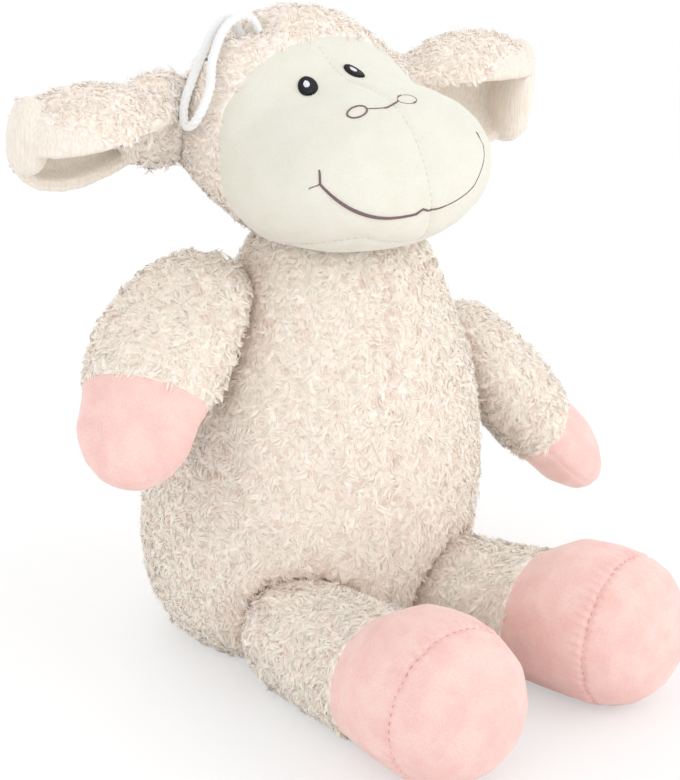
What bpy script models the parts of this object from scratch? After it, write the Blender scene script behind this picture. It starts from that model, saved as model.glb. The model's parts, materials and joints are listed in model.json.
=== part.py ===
"""A seated plush sheep, built from its sewn panels, fillings and stitches.

The sheep sits on Z = 0 and looks along -Y, with its own left side at +X.
All lengths are metres and all angles are degrees.
"""

from math import ceil, cos, pi, radians, sin, sqrt, tau

import bmesh
import bpy
import numpy as np
from mathutils import Vector
from mathutils.bvhtree import BVHTree

# Fabric, thread and clearances
COVER_WALL = 0.0016
TOUCH_GAP = 0.0003
THREAD_WIDTH = 0.0014
THREAD_HEIGHT = 0.0006
SHARP_ANGLE = 50.0
HOLLOW_TRIES = 8

# Torso
TORSO_HEIGHT = 0.148
TORSO_HALF_WIDTH = 0.065
TORSO_HALF_DEPTH = 0.061
TORSO_LEAN = 0.0055
TORSO_SETBACK = 0.005
NECK_RADIUS = 0.036
NECK_BALL_RADIUS = 0.038
PELLET_DEPTH = 0.024

# Neck stitching
NECK_BAND_WALL = 0.0008
NECK_BAND_GAP = 0.0005
NECK_BAND_ANGLES = (14.0, 26.0, 38.0, 51.0)

# Head
HEAD_LENGTH = 0.0985
HEAD_HALF_WIDTH = 0.0475
HEAD_HALF_HEIGHT = 0.040
HEAD_FORWARD = 0.005
HEAD_RISE = 0.050

# Eyes, nostrils and mouth
EYE_HALF_WIDTH = 0.0036
EYE_HALF_LENGTH = 0.0048
EYE_THICKNESS = 0.0008
HIGHLIGHT_RADIUS = 0.0012
NOSTRIL_HALF_WIDTH = 0.0036
NOSTRIL_HALF_HEIGHT = 0.0024

# Ears
EAR_LENGTH = 0.070
EAR_HALF_WIDTH = 0.036
EAR_GATHER_RADIUS = 0.0042
EAR_WOOL_WALL = 0.0022
EAR_LINING_WALL = 0.0012
EAR_SETBACK = 0.034
EAR_RISE = 0.0185

# Arms
ARM_LENGTH = 0.087
ARM_HALF_WIDTH = 0.0245
ARM_HALF_THICKNESS = 0.0158
ARM_ROOT_OFFSET = 0.0195

# Legs
LEG_ROOT_RADIUS = 0.022
LEG_LENGTH = 0.105
FOOT_RADIUS = 0.0288
CROTCH_HALF_WIDTH = 0.010
SOCKET_GAP = 0.0009
SOCKET_OVERRUN = 0.006

# Hanging loop
LOOP_CORD_RADIUS = 0.0017

# How the parts are turned at rest
HEAD_YAW = 7.0
HEAD_ROLL = 3.0
ARM_POSES = {
    "right": {"height": 0.133, "forward": 0.0, "tilt": 28.0, "swing": 7.0, "twist": 52.0,
              "bend": 0.16, "curve": 0.38},
    "left": {"height": 0.097, "forward": -0.006, "tilt": 6.0, "swing": 9.0, "twist": 33.0,
             "bend": 0.50, "curve": 0.0},
}
LEG_POSES = {
    "right": {"depth": 0.007, "splay": -7.0, "least": -11.0, "most": 33.0},
    "left": {"depth": 0.017, "splay": 21.0, "least": 13.0, "most": 49.0},
}
EAR_POSES = {
    "right": {"out": 0.97, "forward": 0.05, "up": 0.08, "opening": 40.0},
    "left": {"out": 0.95, "forward": 0.07, "up": -0.20, "opening": 52.0},
}
SIDE_SIGN = {"right": -1.0, "left": 1.0}

# Points round a section
TORSO_COLUMNS = 22
HEAD_COLUMNS = 22
ARM_COLUMNS = 12
LEG_COLUMNS = 14
EAR_COLUMNS = 10
GATHER_COLUMNS = 10
GATHER_ROWS = 6

# Torso: height, half width, half depth, lean to the left, setback
TORSO_STATION_SHARES = (
    (0.000, 0.68, 0.70, 0.00, 1.2),
    (0.045, 0.85, 0.87, 0.00, 1.2),
    (0.140, 0.96, 0.97, 0.00, 1.0),
    (0.280, 1.00, 1.00, 0.00, 0.8),
    (0.440, 1.00, 0.99, 0.15, 0.4),
    (0.590, 0.96, 0.92, 0.35, 0.0),
    (0.720, 0.88, 0.82, 0.60, -0.4),
    (0.835, 0.76, 0.70, 0.80, -0.9),
    (0.925, 0.65, 0.61, 0.90, -1.3),
)
NECK_STATION_SHARES = (1.0, 1.0, -1.6)
DOME_ANGLE_SHARES = (0.68, 0.36)

# Head, back to front: place along it, half width, top, bottom
HEAD_STATION_SHARES = (
    (0.02, 0.46, 0.70, -0.20),
    (0.08, 0.72, 1.00, -0.48),
    (0.18, 0.89, 1.20, -0.68),
    (0.30, 0.95, 1.16, -0.78),
    (0.39, 0.97, 1.01, -0.80),
    (0.47, 0.98, 0.83, -0.81),
    (0.56, 1.00, 0.75, -0.80),
    (0.66, 1.00, 0.74, -0.75),
    (0.76, 0.96, 0.70, -0.68),
    (0.85, 0.86, 0.59, -0.59),
    (0.925, 0.68, 0.38, -0.50),
    (0.975, 0.44, 0.13, -0.40),
)
HEAD_BACK_SHARE = 0.20
HEAD_FRONT_SHARE = -0.14
HEAD_CENTRE_SHARE = 0.508
HAIRLINE_ROW = 4
CHIN_FIRST_ROW = 6
CHIN_LAST_ROW = 10
CHIN_HALF_COLUMNS = 3

# Arm, shoulder to fingertip: place, half width, half thickness, lift
ARM_STATION_SHARES = (
    (0.020, 0.37, 0.33, 0.44),
    (0.070, 0.65, 0.61, 0.50),
    (0.155, 0.86, 0.83, 0.60),
    (0.270, 0.98, 0.94, 0.72),
    (0.410, 1.02, 1.02, 0.89),
    (0.550, 0.99, 1.00, 0.95),
    (0.650, 0.93, 0.95, 0.98),
    (0.710, 0.86, 0.90, 1.00),
    (0.825, 0.83, 0.87, 1.00),
    (0.910, 0.66, 0.68, 0.97),
    (0.970, 0.40, 0.41, 0.94),
)
ARM_TOP_LIFT_SHARE = 0.44
ARM_TIP_LIFT_SHARE = 0.93
CUFF_ROW = 7

# Leg beyond the hip, and foot: place along it, radius
LEG_STATION_SHARES = (
    (0.31, 0.79),
    (0.44, 0.83),
    (0.50, 0.90),
    (0.585, 0.99),
    (0.69, 1.01),
    (0.79, 0.99),
    (0.875, 0.87),
    (0.94, 0.66),
    (0.98, 0.38),
)
THIGH_SHARE = 0.16
TOE_SHARE = 0.80
HIP_ANGLE_SHARES = (0.26, 0.55, 0.82)
LEG_CUFF_ROW = 7
SOLE_ROW = 11
SOCKET_ROOF_ANGLES = (25, 45, 62, 76)
SOCKET_STEPS = 14

# Ear, root to tip: place, half width, half angle of its curl as part of pi
EAR_STATION_SHARES = (
    (0.00, 0.28, 0.66),
    (0.10, 0.42, 0.66),
    (0.24, 0.68, 0.66),
    (0.40, 0.89, 0.65),
    (0.56, 1.00, 0.65),
    (0.70, 1.00, 0.65),
    (0.83, 0.90, 0.64),
    (0.93, 0.68, 0.62),
    (0.99, 0.40, 0.60),
)
EAR_DROOP_SHARE = 0.03

# Places on the face, seen from a point inside the head
FACE_FOCUS_SHARE = 0.406
FACE_SHIFT_SHARE = -0.088
EYE_PAN = 50.0
EYE_LIFT = 65.0
NOSTRIL_PAN = 15.0
NOSTRIL_LIFT = 34.0
NOSE_LINE_LIFT = 34.5
NOSE_LINE_DIP = 1.6
NOSE_LINE_REACH_SHARE = 0.46
MOUTH_PAN = 36.5
MOUTH_LOW_LIFT = -7.8
MOUTH_CORNER_LIFT = 6.5
MOUTH_NOTCH_LIFT = 1.2
MOUTH_TICK_LIFT = 11.0
MOUTH_STEPS = 30
NOSE_LINE_STEPS = 8
NOSTRIL_STEPS = 16
EYE_STEPS = 14
HIGHLIGHT_STEPS = 8
HIGHLIGHT_SHIFT_SHARE = 0.35
THREAD_BASE_LIFT = 0.0006

# Rings of a stitched patch: size, height
PATCH_RING_SHARES = ((0.55, 0.9), (1.0, 0.45))

# Route of the hanging loop: left, forward and up from the head's centre
LOOP_ROUTE = (
    (-0.0199, -0.0311, 0.0445),
    (-0.0220, -0.0325, 0.0495),
    (-0.0255, -0.0325, 0.0515),
    (-0.0315, -0.0312, 0.0485),
    (-0.0388, -0.0290, 0.0412),
    (-0.0450, -0.0270, 0.0338),
    (-0.0499, -0.0256, 0.0263),
    (-0.0522, -0.0232, 0.0209),
    (-0.0526, -0.0198, 0.0195),
    (-0.0519, -0.0164, 0.0218),
    (-0.0490, -0.0150, 0.0268),
    (-0.0450, -0.0160, 0.0332),
    (-0.0400, -0.0210, 0.0407),
    (-0.0310, -0.0262, 0.0490),
    (-0.0235, -0.0268, 0.0525),
    (-0.0183, -0.0268, 0.0508),
    (-0.0157, -0.0263, 0.0460),
)
LOOP_POINTS_PER_STEP = 3

MATERIALS = {
    "fleece": ((0.92, 0.86, 0.77), 0.95),
    "smooth_plush": ((0.88, 0.86, 0.78), 0.85),
    "pink_plush": ((0.93, 0.66, 0.62), 0.85),
    "lining": ((0.93, 0.85, 0.74), 0.85),
    "filling": ((0.93, 0.93, 0.92), 0.95),
    "pellets": ((0.85, 0.85, 0.84), 0.60),
    "brown_thread": ((0.20, 0.13, 0.13), 0.60),
    "black_thread": ((0.03, 0.02, 0.03), 0.50),
    "white_thread": ((0.92, 0.92, 0.92), 0.60),
    "white_cord": ((0.90, 0.90, 0.89), 0.75),
}


def unit(vector):
    """The vector at length one."""
    vector = np.asarray(vector, dtype=float)
    return vector / np.linalg.norm(vector)


def turned(vector, axis, angle):
    """The vector turned about a unit axis by an angle in degrees."""
    turn = radians(angle)
    along = axis * np.dot(axis, vector)
    return along + (vector - along) * cos(turn) + np.cross(axis, vector) * sin(turn)


class Form:
    """A closed swelling shape: rings of points between two poles."""

    def __init__(self, start, rings, end):
        self.columns = len(rings[0])
        self.hollow_centre = np.zeros(3)
        self.hollow_radius = 0.0
        self.points = np.vstack([[start], *rings, [end]])
        self.faces = self.make_faces(len(rings))
        if self.volume() < 0:
            self.faces = [(row, column, loop[::-1]) for row, column, loop in self.faces]

    def make_faces(self, ring_count):
        """Row, column and corners of each triangle."""
        last = len(self.points) - 1
        faces = []
        for column in range(self.columns):
            beside = (column + 1) % self.columns
            faces.append((0, column, (0, 1 + column, 1 + beside)))
            for row in range(1, ring_count):
                low = 1 + (row - 1) * self.columns
                high = low + self.columns
                corners = (low + column, high + column, high + beside, low + beside)
                faces.append((row, column, (corners[0], corners[1], corners[2])))
                faces.append((row, column, (corners[0], corners[2], corners[3])))
            low = last - self.columns
            faces.append((ring_count, column, (last, low + beside, low + column)))
        return faces

    def face_normals(self):
        """Normal of each triangle, as long as twice its area."""
        corners = self.points[np.array([loop for _, _, loop in self.faces])]
        return np.cross(corners[:, 1] - corners[:, 0], corners[:, 2] - corners[:, 0])

    def volume(self):
        """Signed volume inside the form."""
        corners = self.points[np.array([loop for _, _, loop in self.faces])]
        return np.einsum("ij,ij->i", corners[:, 0], np.cross(corners[:, 1], corners[:, 2])).sum() / 6

    def normals(self):
        """Outward unit normal at each point."""
        normals = np.zeros_like(self.points)
        for (_, _, loop), face_normal in zip(self.faces, self.face_normals()):
            for corner in loop:
                normals[corner] += face_normal
        return normals / np.linalg.norm(normals, axis=1)[:, None]

    def hollowed(self, points, depth=0.0):
        """The points pushed out of the hollow's ball, a depth further in."""
        if not self.hollow_radius:
            return points
        away = points - self.hollow_centre
        distance = np.linalg.norm(away, axis=1)[:, None]
        push = self.hollow_radius + depth
        return np.where(distance < push, self.hollow_centre + away / distance * push, points)

    def hollow_out(self, centre, radius):
        """Give the form a round hollow whose faces all clear a ball."""
        self.hollow_centre = centre
        self.hollow_radius = radius
        for _ in range(HOLLOW_TRIES):
            faces = [loop for _, _, loop in self.faces]
            tree = BVHTree.FromPolygons(self.hollowed(self.points).tolist(), faces)
            nearest = tree.find_nearest(Vector(centre))[3]
            if nearest >= radius:
                return
            self.hollow_radius += radius - nearest

    def surface(self):
        """The points of the outer surface."""
        return self.hollowed(self.points)

    def inset(self, depth):
        """The points moved inwards by a depth."""
        return self.hollowed(self.points - self.normals() * depth, depth)

    def tree(self):
        """Search tree of the outer surface."""
        return BVHTree.FromPolygons(self.surface().tolist(), [loop for _, _, loop in self.faces])


def ellipse(centre, across, upward, count, phase=0.0):
    """Points round an ellipse, from its across axis towards its upward axis."""
    angles = (np.arange(count) + phase) * tau / count
    return centre + np.outer(np.cos(angles), across) + np.outer(np.sin(angles), upward)


def torso_form():
    """Torso from its flat seat to the round top that the head sits on."""
    rings = []
    for height, width, depth, lean, setback in TORSO_STATION_SHARES:
        centre = torso_centre(height, lean, setback)
        front = np.array([0, -TORSO_HALF_DEPTH * depth, 0])
        side = np.array([TORSO_HALF_WIDTH * width, 0, 0])
        rings.append(ellipse(centre, front, side, TORSO_COLUMNS))
    pivot = neck_pivot()
    neck_angle = pi / 2 - np.arcsin(neck_drop() / NECK_BALL_RADIUS)
    for share in (1.0, *DOME_ANGLE_SHARES):
        radius = NECK_BALL_RADIUS * sin(neck_angle * share)
        centre = pivot + [0, 0, NECK_BALL_RADIUS * cos(neck_angle * share)]
        rings.append(ellipse(centre, np.array([0, -radius, 0]), np.array([radius, 0, 0]), TORSO_COLUMNS))
    seat = torso_centre(0, 0, TORSO_STATION_SHARES[0][4])
    return Form(seat, rings, pivot + [0, 0, NECK_BALL_RADIUS])


def torso_centre(height, lean, setback):
    """Middle of the torso at a share of its height."""
    return np.array([TORSO_LEAN * lean, TORSO_SETBACK * setback, TORSO_HEIGHT * height])


def neck_drop():
    """How far the neck ball's centre lies below the neck's rim."""
    rim = min(NECK_RADIUS, NECK_BALL_RADIUS)
    return sqrt(NECK_BALL_RADIUS ** 2 - rim ** 2)


def neck_pivot():
    """Centre of the neck ball, where the head turns and nods."""
    return torso_centre(*NECK_STATION_SHARES) - [0, 0, neck_drop()]


def head_axes():
    """The head's left, forward and up directions."""
    up = np.array([0.0, 0.0, 1.0])
    forward = turned(np.array([0.0, -1.0, 0.0]), up, HEAD_YAW)
    left = turned(np.array([1.0, 0.0, 0.0]), up, HEAD_YAW)
    return turned(left, forward, HEAD_ROLL), forward, turned(up, forward, HEAD_ROLL)


def head_centre():
    """Middle of the head."""
    return neck_pivot() + head_axes()[1] * HEAD_FORWARD + [0, 0, HEAD_RISE]


def head_place(left, forward, up):
    """World position of a place in the head."""
    axes = head_axes()
    return head_centre() + axes[0] * left + axes[1] * forward + axes[2] * up


def head_form():
    """Head from its back to the muzzle, hollowed where it sits on the neck."""
    left, _, up = head_axes()
    rings = []
    for place, width, top, bottom in HEAD_STATION_SHARES:
        middle = HEAD_HALF_HEIGHT * (top + bottom) / 2
        centre = head_place(0, HEAD_LENGTH * (place - HEAD_CENTRE_SHARE), middle)
        tall = up * HEAD_HALF_HEIGHT * (top - bottom) / 2
        rings.append(ellipse(centre, tall, left * HEAD_HALF_WIDTH * width, HEAD_COLUMNS))
    back = head_place(0, -HEAD_LENGTH * HEAD_CENTRE_SHARE, HEAD_HALF_HEIGHT * HEAD_BACK_SHARE)
    front = head_place(0, HEAD_LENGTH * (1 - HEAD_CENTRE_SHARE), HEAD_HALF_HEIGHT * HEAD_FRONT_SHARE)
    form = Form(back, rings, front)
    form.hollow_out(neck_pivot(), neck_band_radius() + NECK_BAND_WALL + NECK_BAND_GAP)
    return form


def neck_band_radius():
    """Inner radius of the stitched band round the neck ball."""
    facet_sag = NECK_BALL_RADIUS * (1 - cos(pi / TORSO_COLUMNS))
    return NECK_BALL_RADIUS + facet_sag + NECK_BAND_GAP


def arm_frame(side, torso):
    """Root point, along, outward and forward axes, and outward and forward bend of an arm."""
    pose = ARM_POSES[side]
    sign = SIDE_SIGN[side]
    tilt = radians(pose["tilt"])
    outward = np.array([sign * cos(tilt), 0, sin(tilt)])
    reach = (torso.points @ outward).max() + TOUCH_GAP
    root = np.array([0, torso_centre(0, 0, NECK_STATION_SHARES[2])[1] / 2 - pose["forward"], pose["height"]])
    root[0] = (reach - outward[2] * root[2]) / outward[0]
    downward = unit(np.cross([0, sign, 0], outward))
    along = turned(downward, outward, -sign * pose["swing"])
    forward = np.cross(along, outward) * sign
    return root, along, outward, forward, outward * pose["bend"] + forward * pose["curve"]


def arm_form(frame, twist):
    """Flat arm from its rounded shoulder to the fingertip, flush where it meets the torso."""
    root, along, outward, forward, bend = frame
    top = root - along * ARM_ROOT_OFFSET
    level = outward * np.hypot(ARM_HALF_THICKNESS * cos(radians(twist)), ARM_HALF_WIDTH * sin(radians(twist)))
    rings = []
    for place, width, thickness, lift in ARM_STATION_SHARES:
        middle = top + (along * place + bend * place ** 2) * ARM_LENGTH
        direction = unit(along + 2 * bend * place)
        inward = -unit(outward - direction * np.dot(outward, direction))
        inward = turned(inward, direction, twist * np.sign(np.dot(np.cross(direction, -inward), forward)))
        edge = np.cross(direction, inward)
        edge *= np.sign(np.dot(edge, forward))
        rings.append(ellipse(middle + level * lift, inward * ARM_HALF_THICKNESS * thickness,
                             edge * ARM_HALF_WIDTH * width, ARM_COLUMNS))
    shoulder = top + level * ARM_TOP_LIFT_SHARE
    tip = top + (along + bend) * ARM_LENGTH + level * ARM_TIP_LIFT_SHARE
    form = Form(shoulder, rings, tip)
    below = np.minimum((form.points - root) @ outward, 0)
    form.points = form.points - np.outer(below, outward)
    return form


def hip(side, torso):
    """Hip pivot of a leg, inside the torso's front edge."""
    level = torso.points[np.abs(torso.points[:, 2] - LEG_ROOT_RADIUS).argmin()][2]
    front = torso.points[np.isclose(torso.points[:, 2], level)][:, 1].min()
    across = SIDE_SIGN[side] * (LEG_ROOT_RADIUS + CROTCH_HALF_WIDTH)
    return np.array([across, front + LEG_POSES[side]["depth"], 0])


def leg_directions(side, splay):
    """The along and sideways directions of a leg at a splay."""
    turn = radians(splay) * SIDE_SIGN[side]
    return np.array([sin(turn), -cos(turn), 0]), np.array([cos(turn), sin(turn), 0])


def leg_form(side, pivot):
    """Leg from its round hip to the front of the foot, flat underneath."""
    along, sideways = leg_directions(side, LEG_POSES[side]["splay"])
    stations = []
    for share in HIP_ANGLE_SHARES:
        angle = share * pi / 2
        stations.append((-LEG_ROOT_RADIUS * cos(angle), LEG_ROOT_RADIUS * sin(angle), LEG_ROOT_RADIUS))
    stations.append((0, LEG_ROOT_RADIUS, LEG_ROOT_RADIUS))
    stations.append((LEG_LENGTH * THIGH_SHARE, LEG_ROOT_RADIUS, LEG_ROOT_RADIUS))
    for place, size in LEG_STATION_SHARES:
        radius = FOOT_RADIUS * size
        stations.append((LEG_LENGTH * place, radius, radius if place < TOE_SHARE else FOOT_RADIUS))
    facet = cos(pi / LEG_COLUMNS)
    rings = []
    for place, radius, height in stations:
        centre = pivot + along * place + [0, 0, height * facet]
        down = np.array([0, 0, -radius])
        rings.append(ellipse(centre, down, sideways * radius, LEG_COLUMNS, phase=0.5))
    start = pivot - along * LEG_ROOT_RADIUS + [0, 0, LEG_ROOT_RADIUS * facet]
    end = pivot + along * LEG_LENGTH + [0, 0, FOOT_RADIUS * facet]
    form = Form(start, rings, end)
    form.points[:, 2] = form.points[:, 2].clip(min=0)
    return form


def add_material(name):
    """Principled material from the table."""
    colour, roughness = MATERIALS[name]
    material = bpy.data.materials.new(name)
    material.use_nodes = True
    shader = material.node_tree.nodes["Principled BSDF"]
    shader.inputs["Base Color"].default_value = (*colour, 1.0)
    shader.inputs["Roughness"].default_value = roughness
    shader.inputs["Metallic"].default_value = 0.0
    material.diffuse_color = (*colour, 1.0)
    return material


def add_body(name, pivot):
    """Empty on a body's pivot, which carries its pieces."""
    empty = bpy.data.objects.new(name, None)
    empty.location = Vector(pivot)
    bpy.context.scene.collection.objects.link(empty)
    return empty


def add_piece(name, points, faces, material, body):
    """Mesh object that hangs on a body's empty."""
    mesh = bpy.data.meshes.new(name)
    local = np.asarray(points) - np.array(body.location)
    mesh.from_pydata(local.tolist(), [], faces)
    mesh.shade_smooth()
    mesh.set_sharp_from_angle(angle=radians(SHARP_ANGLE))
    piece = bpy.data.objects.new(name, mesh)
    piece.data.materials.append(bpy.data.materials[material])
    piece.parent = body
    bpy.context.scene.collection.objects.link(piece)
    return piece


def add_cover(name, form, keeps, material, body):
    """One fabric panel: the kept faces of a form, one wall thick."""
    surface = form.surface()
    kept = [index for index, (row, column, _) in enumerate(form.faces) if keeps(row, column)]
    edges = {}
    for index in kept:
        loop = form.faces[index][2]
        for first, second in zip(loop, loop[1:] + loop[:1]):
            edges[first, second] = index
    border = [edge for edge in edges if edge[::-1] not in edges]
    pulls = {}
    for first, second in border:
        corners = surface[list(form.faces[edges[first, second]][2])]
        face_normal = np.cross(corners[1] - corners[0], corners[2] - corners[0])
        inward = unit(np.cross(face_normal, surface[second] - surface[first]))
        pulls.setdefault(first, []).append(inward)
        pulls.setdefault(second, []).append(inward)
    outer = surface.copy()
    inner = form.inset(COVER_WALL)
    for corner, (first, second) in pulls.items():
        pull = (first + second) / (1 + np.dot(first, second)) * TOUCH_GAP / 2
        outer[corner] += pull
        inner[corner] += pull
    used = sorted({corner for index in kept for corner in form.faces[index][2]})
    number = {corner: place for place, corner in enumerate(used)}
    shift = len(used)
    faces = []
    for index in kept:
        loop = [number[corner] for corner in form.faces[index][2]]
        faces.append(loop)
        faces.append([corner + shift for corner in reversed(loop)])
    for first, second in border:
        near, far = number[first], number[second]
        if first < second:
            faces.append([far, near, near + shift])
            faces.append([far, near + shift, far + shift])
        else:
            faces.append([far, near, far + shift])
            faces.append([near, near + shift, far + shift])
    return add_piece(name, np.vstack([outer[used], inner[used]]), faces, material, body)


def add_filling(name, form, material, body):
    """Filling that fits inside the covers of a form."""
    faces = [loop for _, _, loop in form.faces]
    return add_piece(name, form.inset(COVER_WALL + TOUCH_GAP), faces, material, body)


def keep_side_of_level(piece, level, above):
    """Cut a piece flat at a level and keep what is above or below it."""
    mesh = bmesh.new()
    mesh.from_mesh(piece.data)
    cut = bmesh.ops.bisect_plane(
        mesh,
        geom=mesh.verts[:] + mesh.edges[:] + mesh.faces[:],
        plane_co=(0, 0, level - piece.parent.location.z),
        plane_no=(0, 0, 1),
        clear_inner=above,
        clear_outer=not above,
    )
    rim = [item for item in cut["geom_cut"] if isinstance(item, bmesh.types.BMEdge)]
    filled = bmesh.ops.edgeloop_fill(mesh, edges=rim)
    bmesh.ops.triangulate(mesh, faces=filled["faces"])
    bmesh.ops.recalc_face_normals(mesh, faces=mesh.faces[:])
    mesh.to_mesh(piece.data)
    mesh.free()


def add_socket_cutter(side, pivot, body):
    """Space that a leg sweeps in the torso, as a stack of fan outlines."""
    pose = LEG_POSES[side]
    radius = LEG_ROOT_RADIUS + SOCKET_GAP
    axis_height = LEG_ROOT_RADIUS * cos(pi / LEG_COLUMNS)
    levels = [(-SOCKET_OVERRUN, radius), (axis_height, radius)]
    for angle in SOCKET_ROOF_ANGLES:
        levels.append((axis_height + radius * sin(radians(angle)), radius * cos(radians(angle))))
    first, first_side = leg_directions(side, pose["least"])
    last, last_side = leg_directions(side, pose["most"])
    sign = SIDE_SIGN[side]
    rings = []
    for height, spread in levels:
        centre = pivot + [0, 0, height]
        outline = [centre + first * LEG_LENGTH / 2 - first_side * sign * spread]
        for step in range(SOCKET_STEPS + 1):
            share = step / SOCKET_STEPS
            turn = (pose["least"] + 270) * (1 - share) + (pose["most"] + 90) * share
            outline.append(centre + leg_directions(side, turn)[0] * spread)
        outline.append(centre + last * LEG_LENGTH / 2 + last_side * sign * spread)
        rings.append(np.array(outline))
    form = Form(rings[0].mean(axis=0), rings, rings[-1].mean(axis=0))
    cutter = add_piece(f"socket_cutter_{side}", form.points, [loop for _, _, loop in form.faces], "fleece", body)
    cutter.hide_render = True
    cutter.display_type = "WIRE"
    return cutter


def cut_from(piece, cutter):
    """Take a cutter's space out of a piece."""
    cut = piece.modifiers.new(cutter.name, "BOOLEAN")
    cut.operation = "DIFFERENCE"
    cut.solver = "EXACT"
    cut.object = cutter


def make_torso(torso, body):
    """Belly, back and seat panels with their filling and pellets."""
    half = TORSO_COLUMNS // 2
    side_seam = ceil(half / 2)
    panels = {
        "belly_panel_left": lambda row, column: row > 1 and column < side_seam,
        "back_panel_left": lambda row, column: row > 1 and side_seam <= column < half,
        "back_panel_right": lambda row, column: row > 1 and half <= column < TORSO_COLUMNS - side_seam,
        "belly_panel_right": lambda row, column: row > 1 and column >= TORSO_COLUMNS - side_seam,
        "seat_panel": lambda row, column: row <= 1,
    }
    pieces = [add_cover(name, torso, keeps, "fleece", body) for name, keeps in panels.items()]
    filling = add_filling("torso_filling", torso, "filling", body)
    keep_side_of_level(filling, PELLET_DEPTH + TOUCH_GAP / 2, above=True)
    pellets = add_filling("pellet_bag", torso, "pellets", body)
    keep_side_of_level(pellets, PELLET_DEPTH - TOUCH_GAP / 2, above=False)
    for side in SIDE_SIGN:
        cutter = add_socket_cutter(side, hip(side, torso), body)
        for piece in [*pieces, filling, pellets]:
            if not piece.name.startswith("back"):
                cut_from(piece, cutter)


def make_neck_stitching(body):
    """Stitched band round the neck ball, under the head."""
    inner = neck_band_radius()
    section = [(inner + NECK_BAND_WALL, angle) for angle in NECK_BAND_ANGLES]
    section += [(inner, angle) for angle in reversed(NECK_BAND_ANGLES)]
    rings = []
    for radius, angle in section:
        turn = radians(angle)
        centre = np.array(body.location) + [0, 0, radius * cos(turn)]
        flat = radius * sin(turn)
        rings.append(ellipse(centre, np.array([flat, 0, 0]), np.array([0, flat, 0]), TORSO_COLUMNS))
    faces = []
    for ring in range(len(section)):
        low = ring * TORSO_COLUMNS
        high = (ring + 1) % len(section) * TORSO_COLUMNS
        for column in range(TORSO_COLUMNS):
            beside = (column + 1) % TORSO_COLUMNS
            faces.append([low + column, high + column, high + beside, low + beside])
    add_piece("neck_stitching", np.vstack(rings), faces, "white_thread", body)


def make_head(head, body):
    """Wool, face and chin panels with the head's filling."""
    half = HEAD_COLUMNS // 2
    chin_edge = half - CHIN_HALF_COLUMNS

    def is_low(column):
        return chin_edge <= column < HEAD_COLUMNS - chin_edge

    def is_chin(row, column):
        return CHIN_FIRST_ROW <= row <= CHIN_LAST_ROW and is_low(column)

    def is_face(row, column):
        return row > (CHIN_LAST_ROW if is_low(column) else HAIRLINE_ROW)

    panels = {
        "crown_panel": ("fleece", lambda row, column: row <= HAIRLINE_ROW and not is_low(column)),
        "nape_panel": ("fleece", lambda row, column: row < CHIN_FIRST_ROW and is_low(column)),
        "chin_panel": ("smooth_plush", is_chin),
        "face_panel_left": ("smooth_plush", lambda row, column: is_face(row, column) and column < half),
        "face_panel_right": ("smooth_plush", lambda row, column: is_face(row, column) and column >= half),
    }
    for name, (material, keeps) in panels.items():
        add_cover(name, head, keeps, material, body)
    add_filling("head_filling", head, "filling", body)


def face_hit(tree, pan, lift):
    """Point on the face and its normal, seen from inside the head."""
    left, forward, up = head_axes()
    shift = HEAD_HALF_WIDTH * FACE_SHIFT_SHARE
    focus = head_place(shift, HEAD_LENGTH * (FACE_FOCUS_SHARE - HEAD_CENTRE_SHARE), 0)
    level = left * sin(radians(pan)) + forward * cos(radians(pan))
    ray = level * cos(radians(lift)) + up * sin(radians(lift))
    hit, normal, _, _ = tree.ray_cast(Vector(focus + ray * HEAD_LENGTH), Vector(-ray))
    return np.array(hit), np.array(normal)


def lifted(tree, point, height):
    """The nearest surface point, raised along its normal."""
    hit, normal, _, _ = tree.find_nearest(Vector(point))
    return np.array(hit + normal * height)


def add_thread(name, tree, path, closed, body):
    """Flat thread that follows a path on the surface."""
    count = len(path)
    rows = []
    for index in range(count):
        before = path[index - 1] if closed or index else path[0]
        after = path[(index + 1) % count] if closed or index < count - 1 else path[-1]
        _, normal, _, _ = tree.find_nearest(Vector(path[index]))
        side = unit(np.cross(np.array(normal), after - before)) * THREAD_WIDTH / 2
        for height in (0, THREAD_HEIGHT):
            for shift in (side, -side) if height == 0 else (-side, side):
                rows.append(lifted(tree, path[index] + shift, THREAD_BASE_LIFT + height))
    faces = []
    for index in range(count if closed else count - 1):
        low = index * 4
        high = (index + 1) % count * 4
        for corner in range(4):
            beside = (corner + 1) % 4
            faces.append([low + corner, low + beside, high + beside, high + corner])
    if not closed:
        faces.append([3, 2, 1, 0])
        last = (count - 1) * 4
        faces.append([last, last + 1, last + 2, last + 3])
    add_closed(name, rows, faces, "brown_thread", body)


def add_closed(name, points, faces, material, body):
    """Piece whose triangles all face outwards."""
    piece = add_piece(name, points, faces, material, body)
    mesh = bmesh.new()
    mesh.from_mesh(piece.data)
    bmesh.ops.triangulate(mesh, faces=mesh.faces[:])
    bmesh.ops.recalc_face_normals(mesh, faces=mesh.faces[:])
    mesh.to_mesh(piece.data)
    mesh.free()
    return piece


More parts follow.
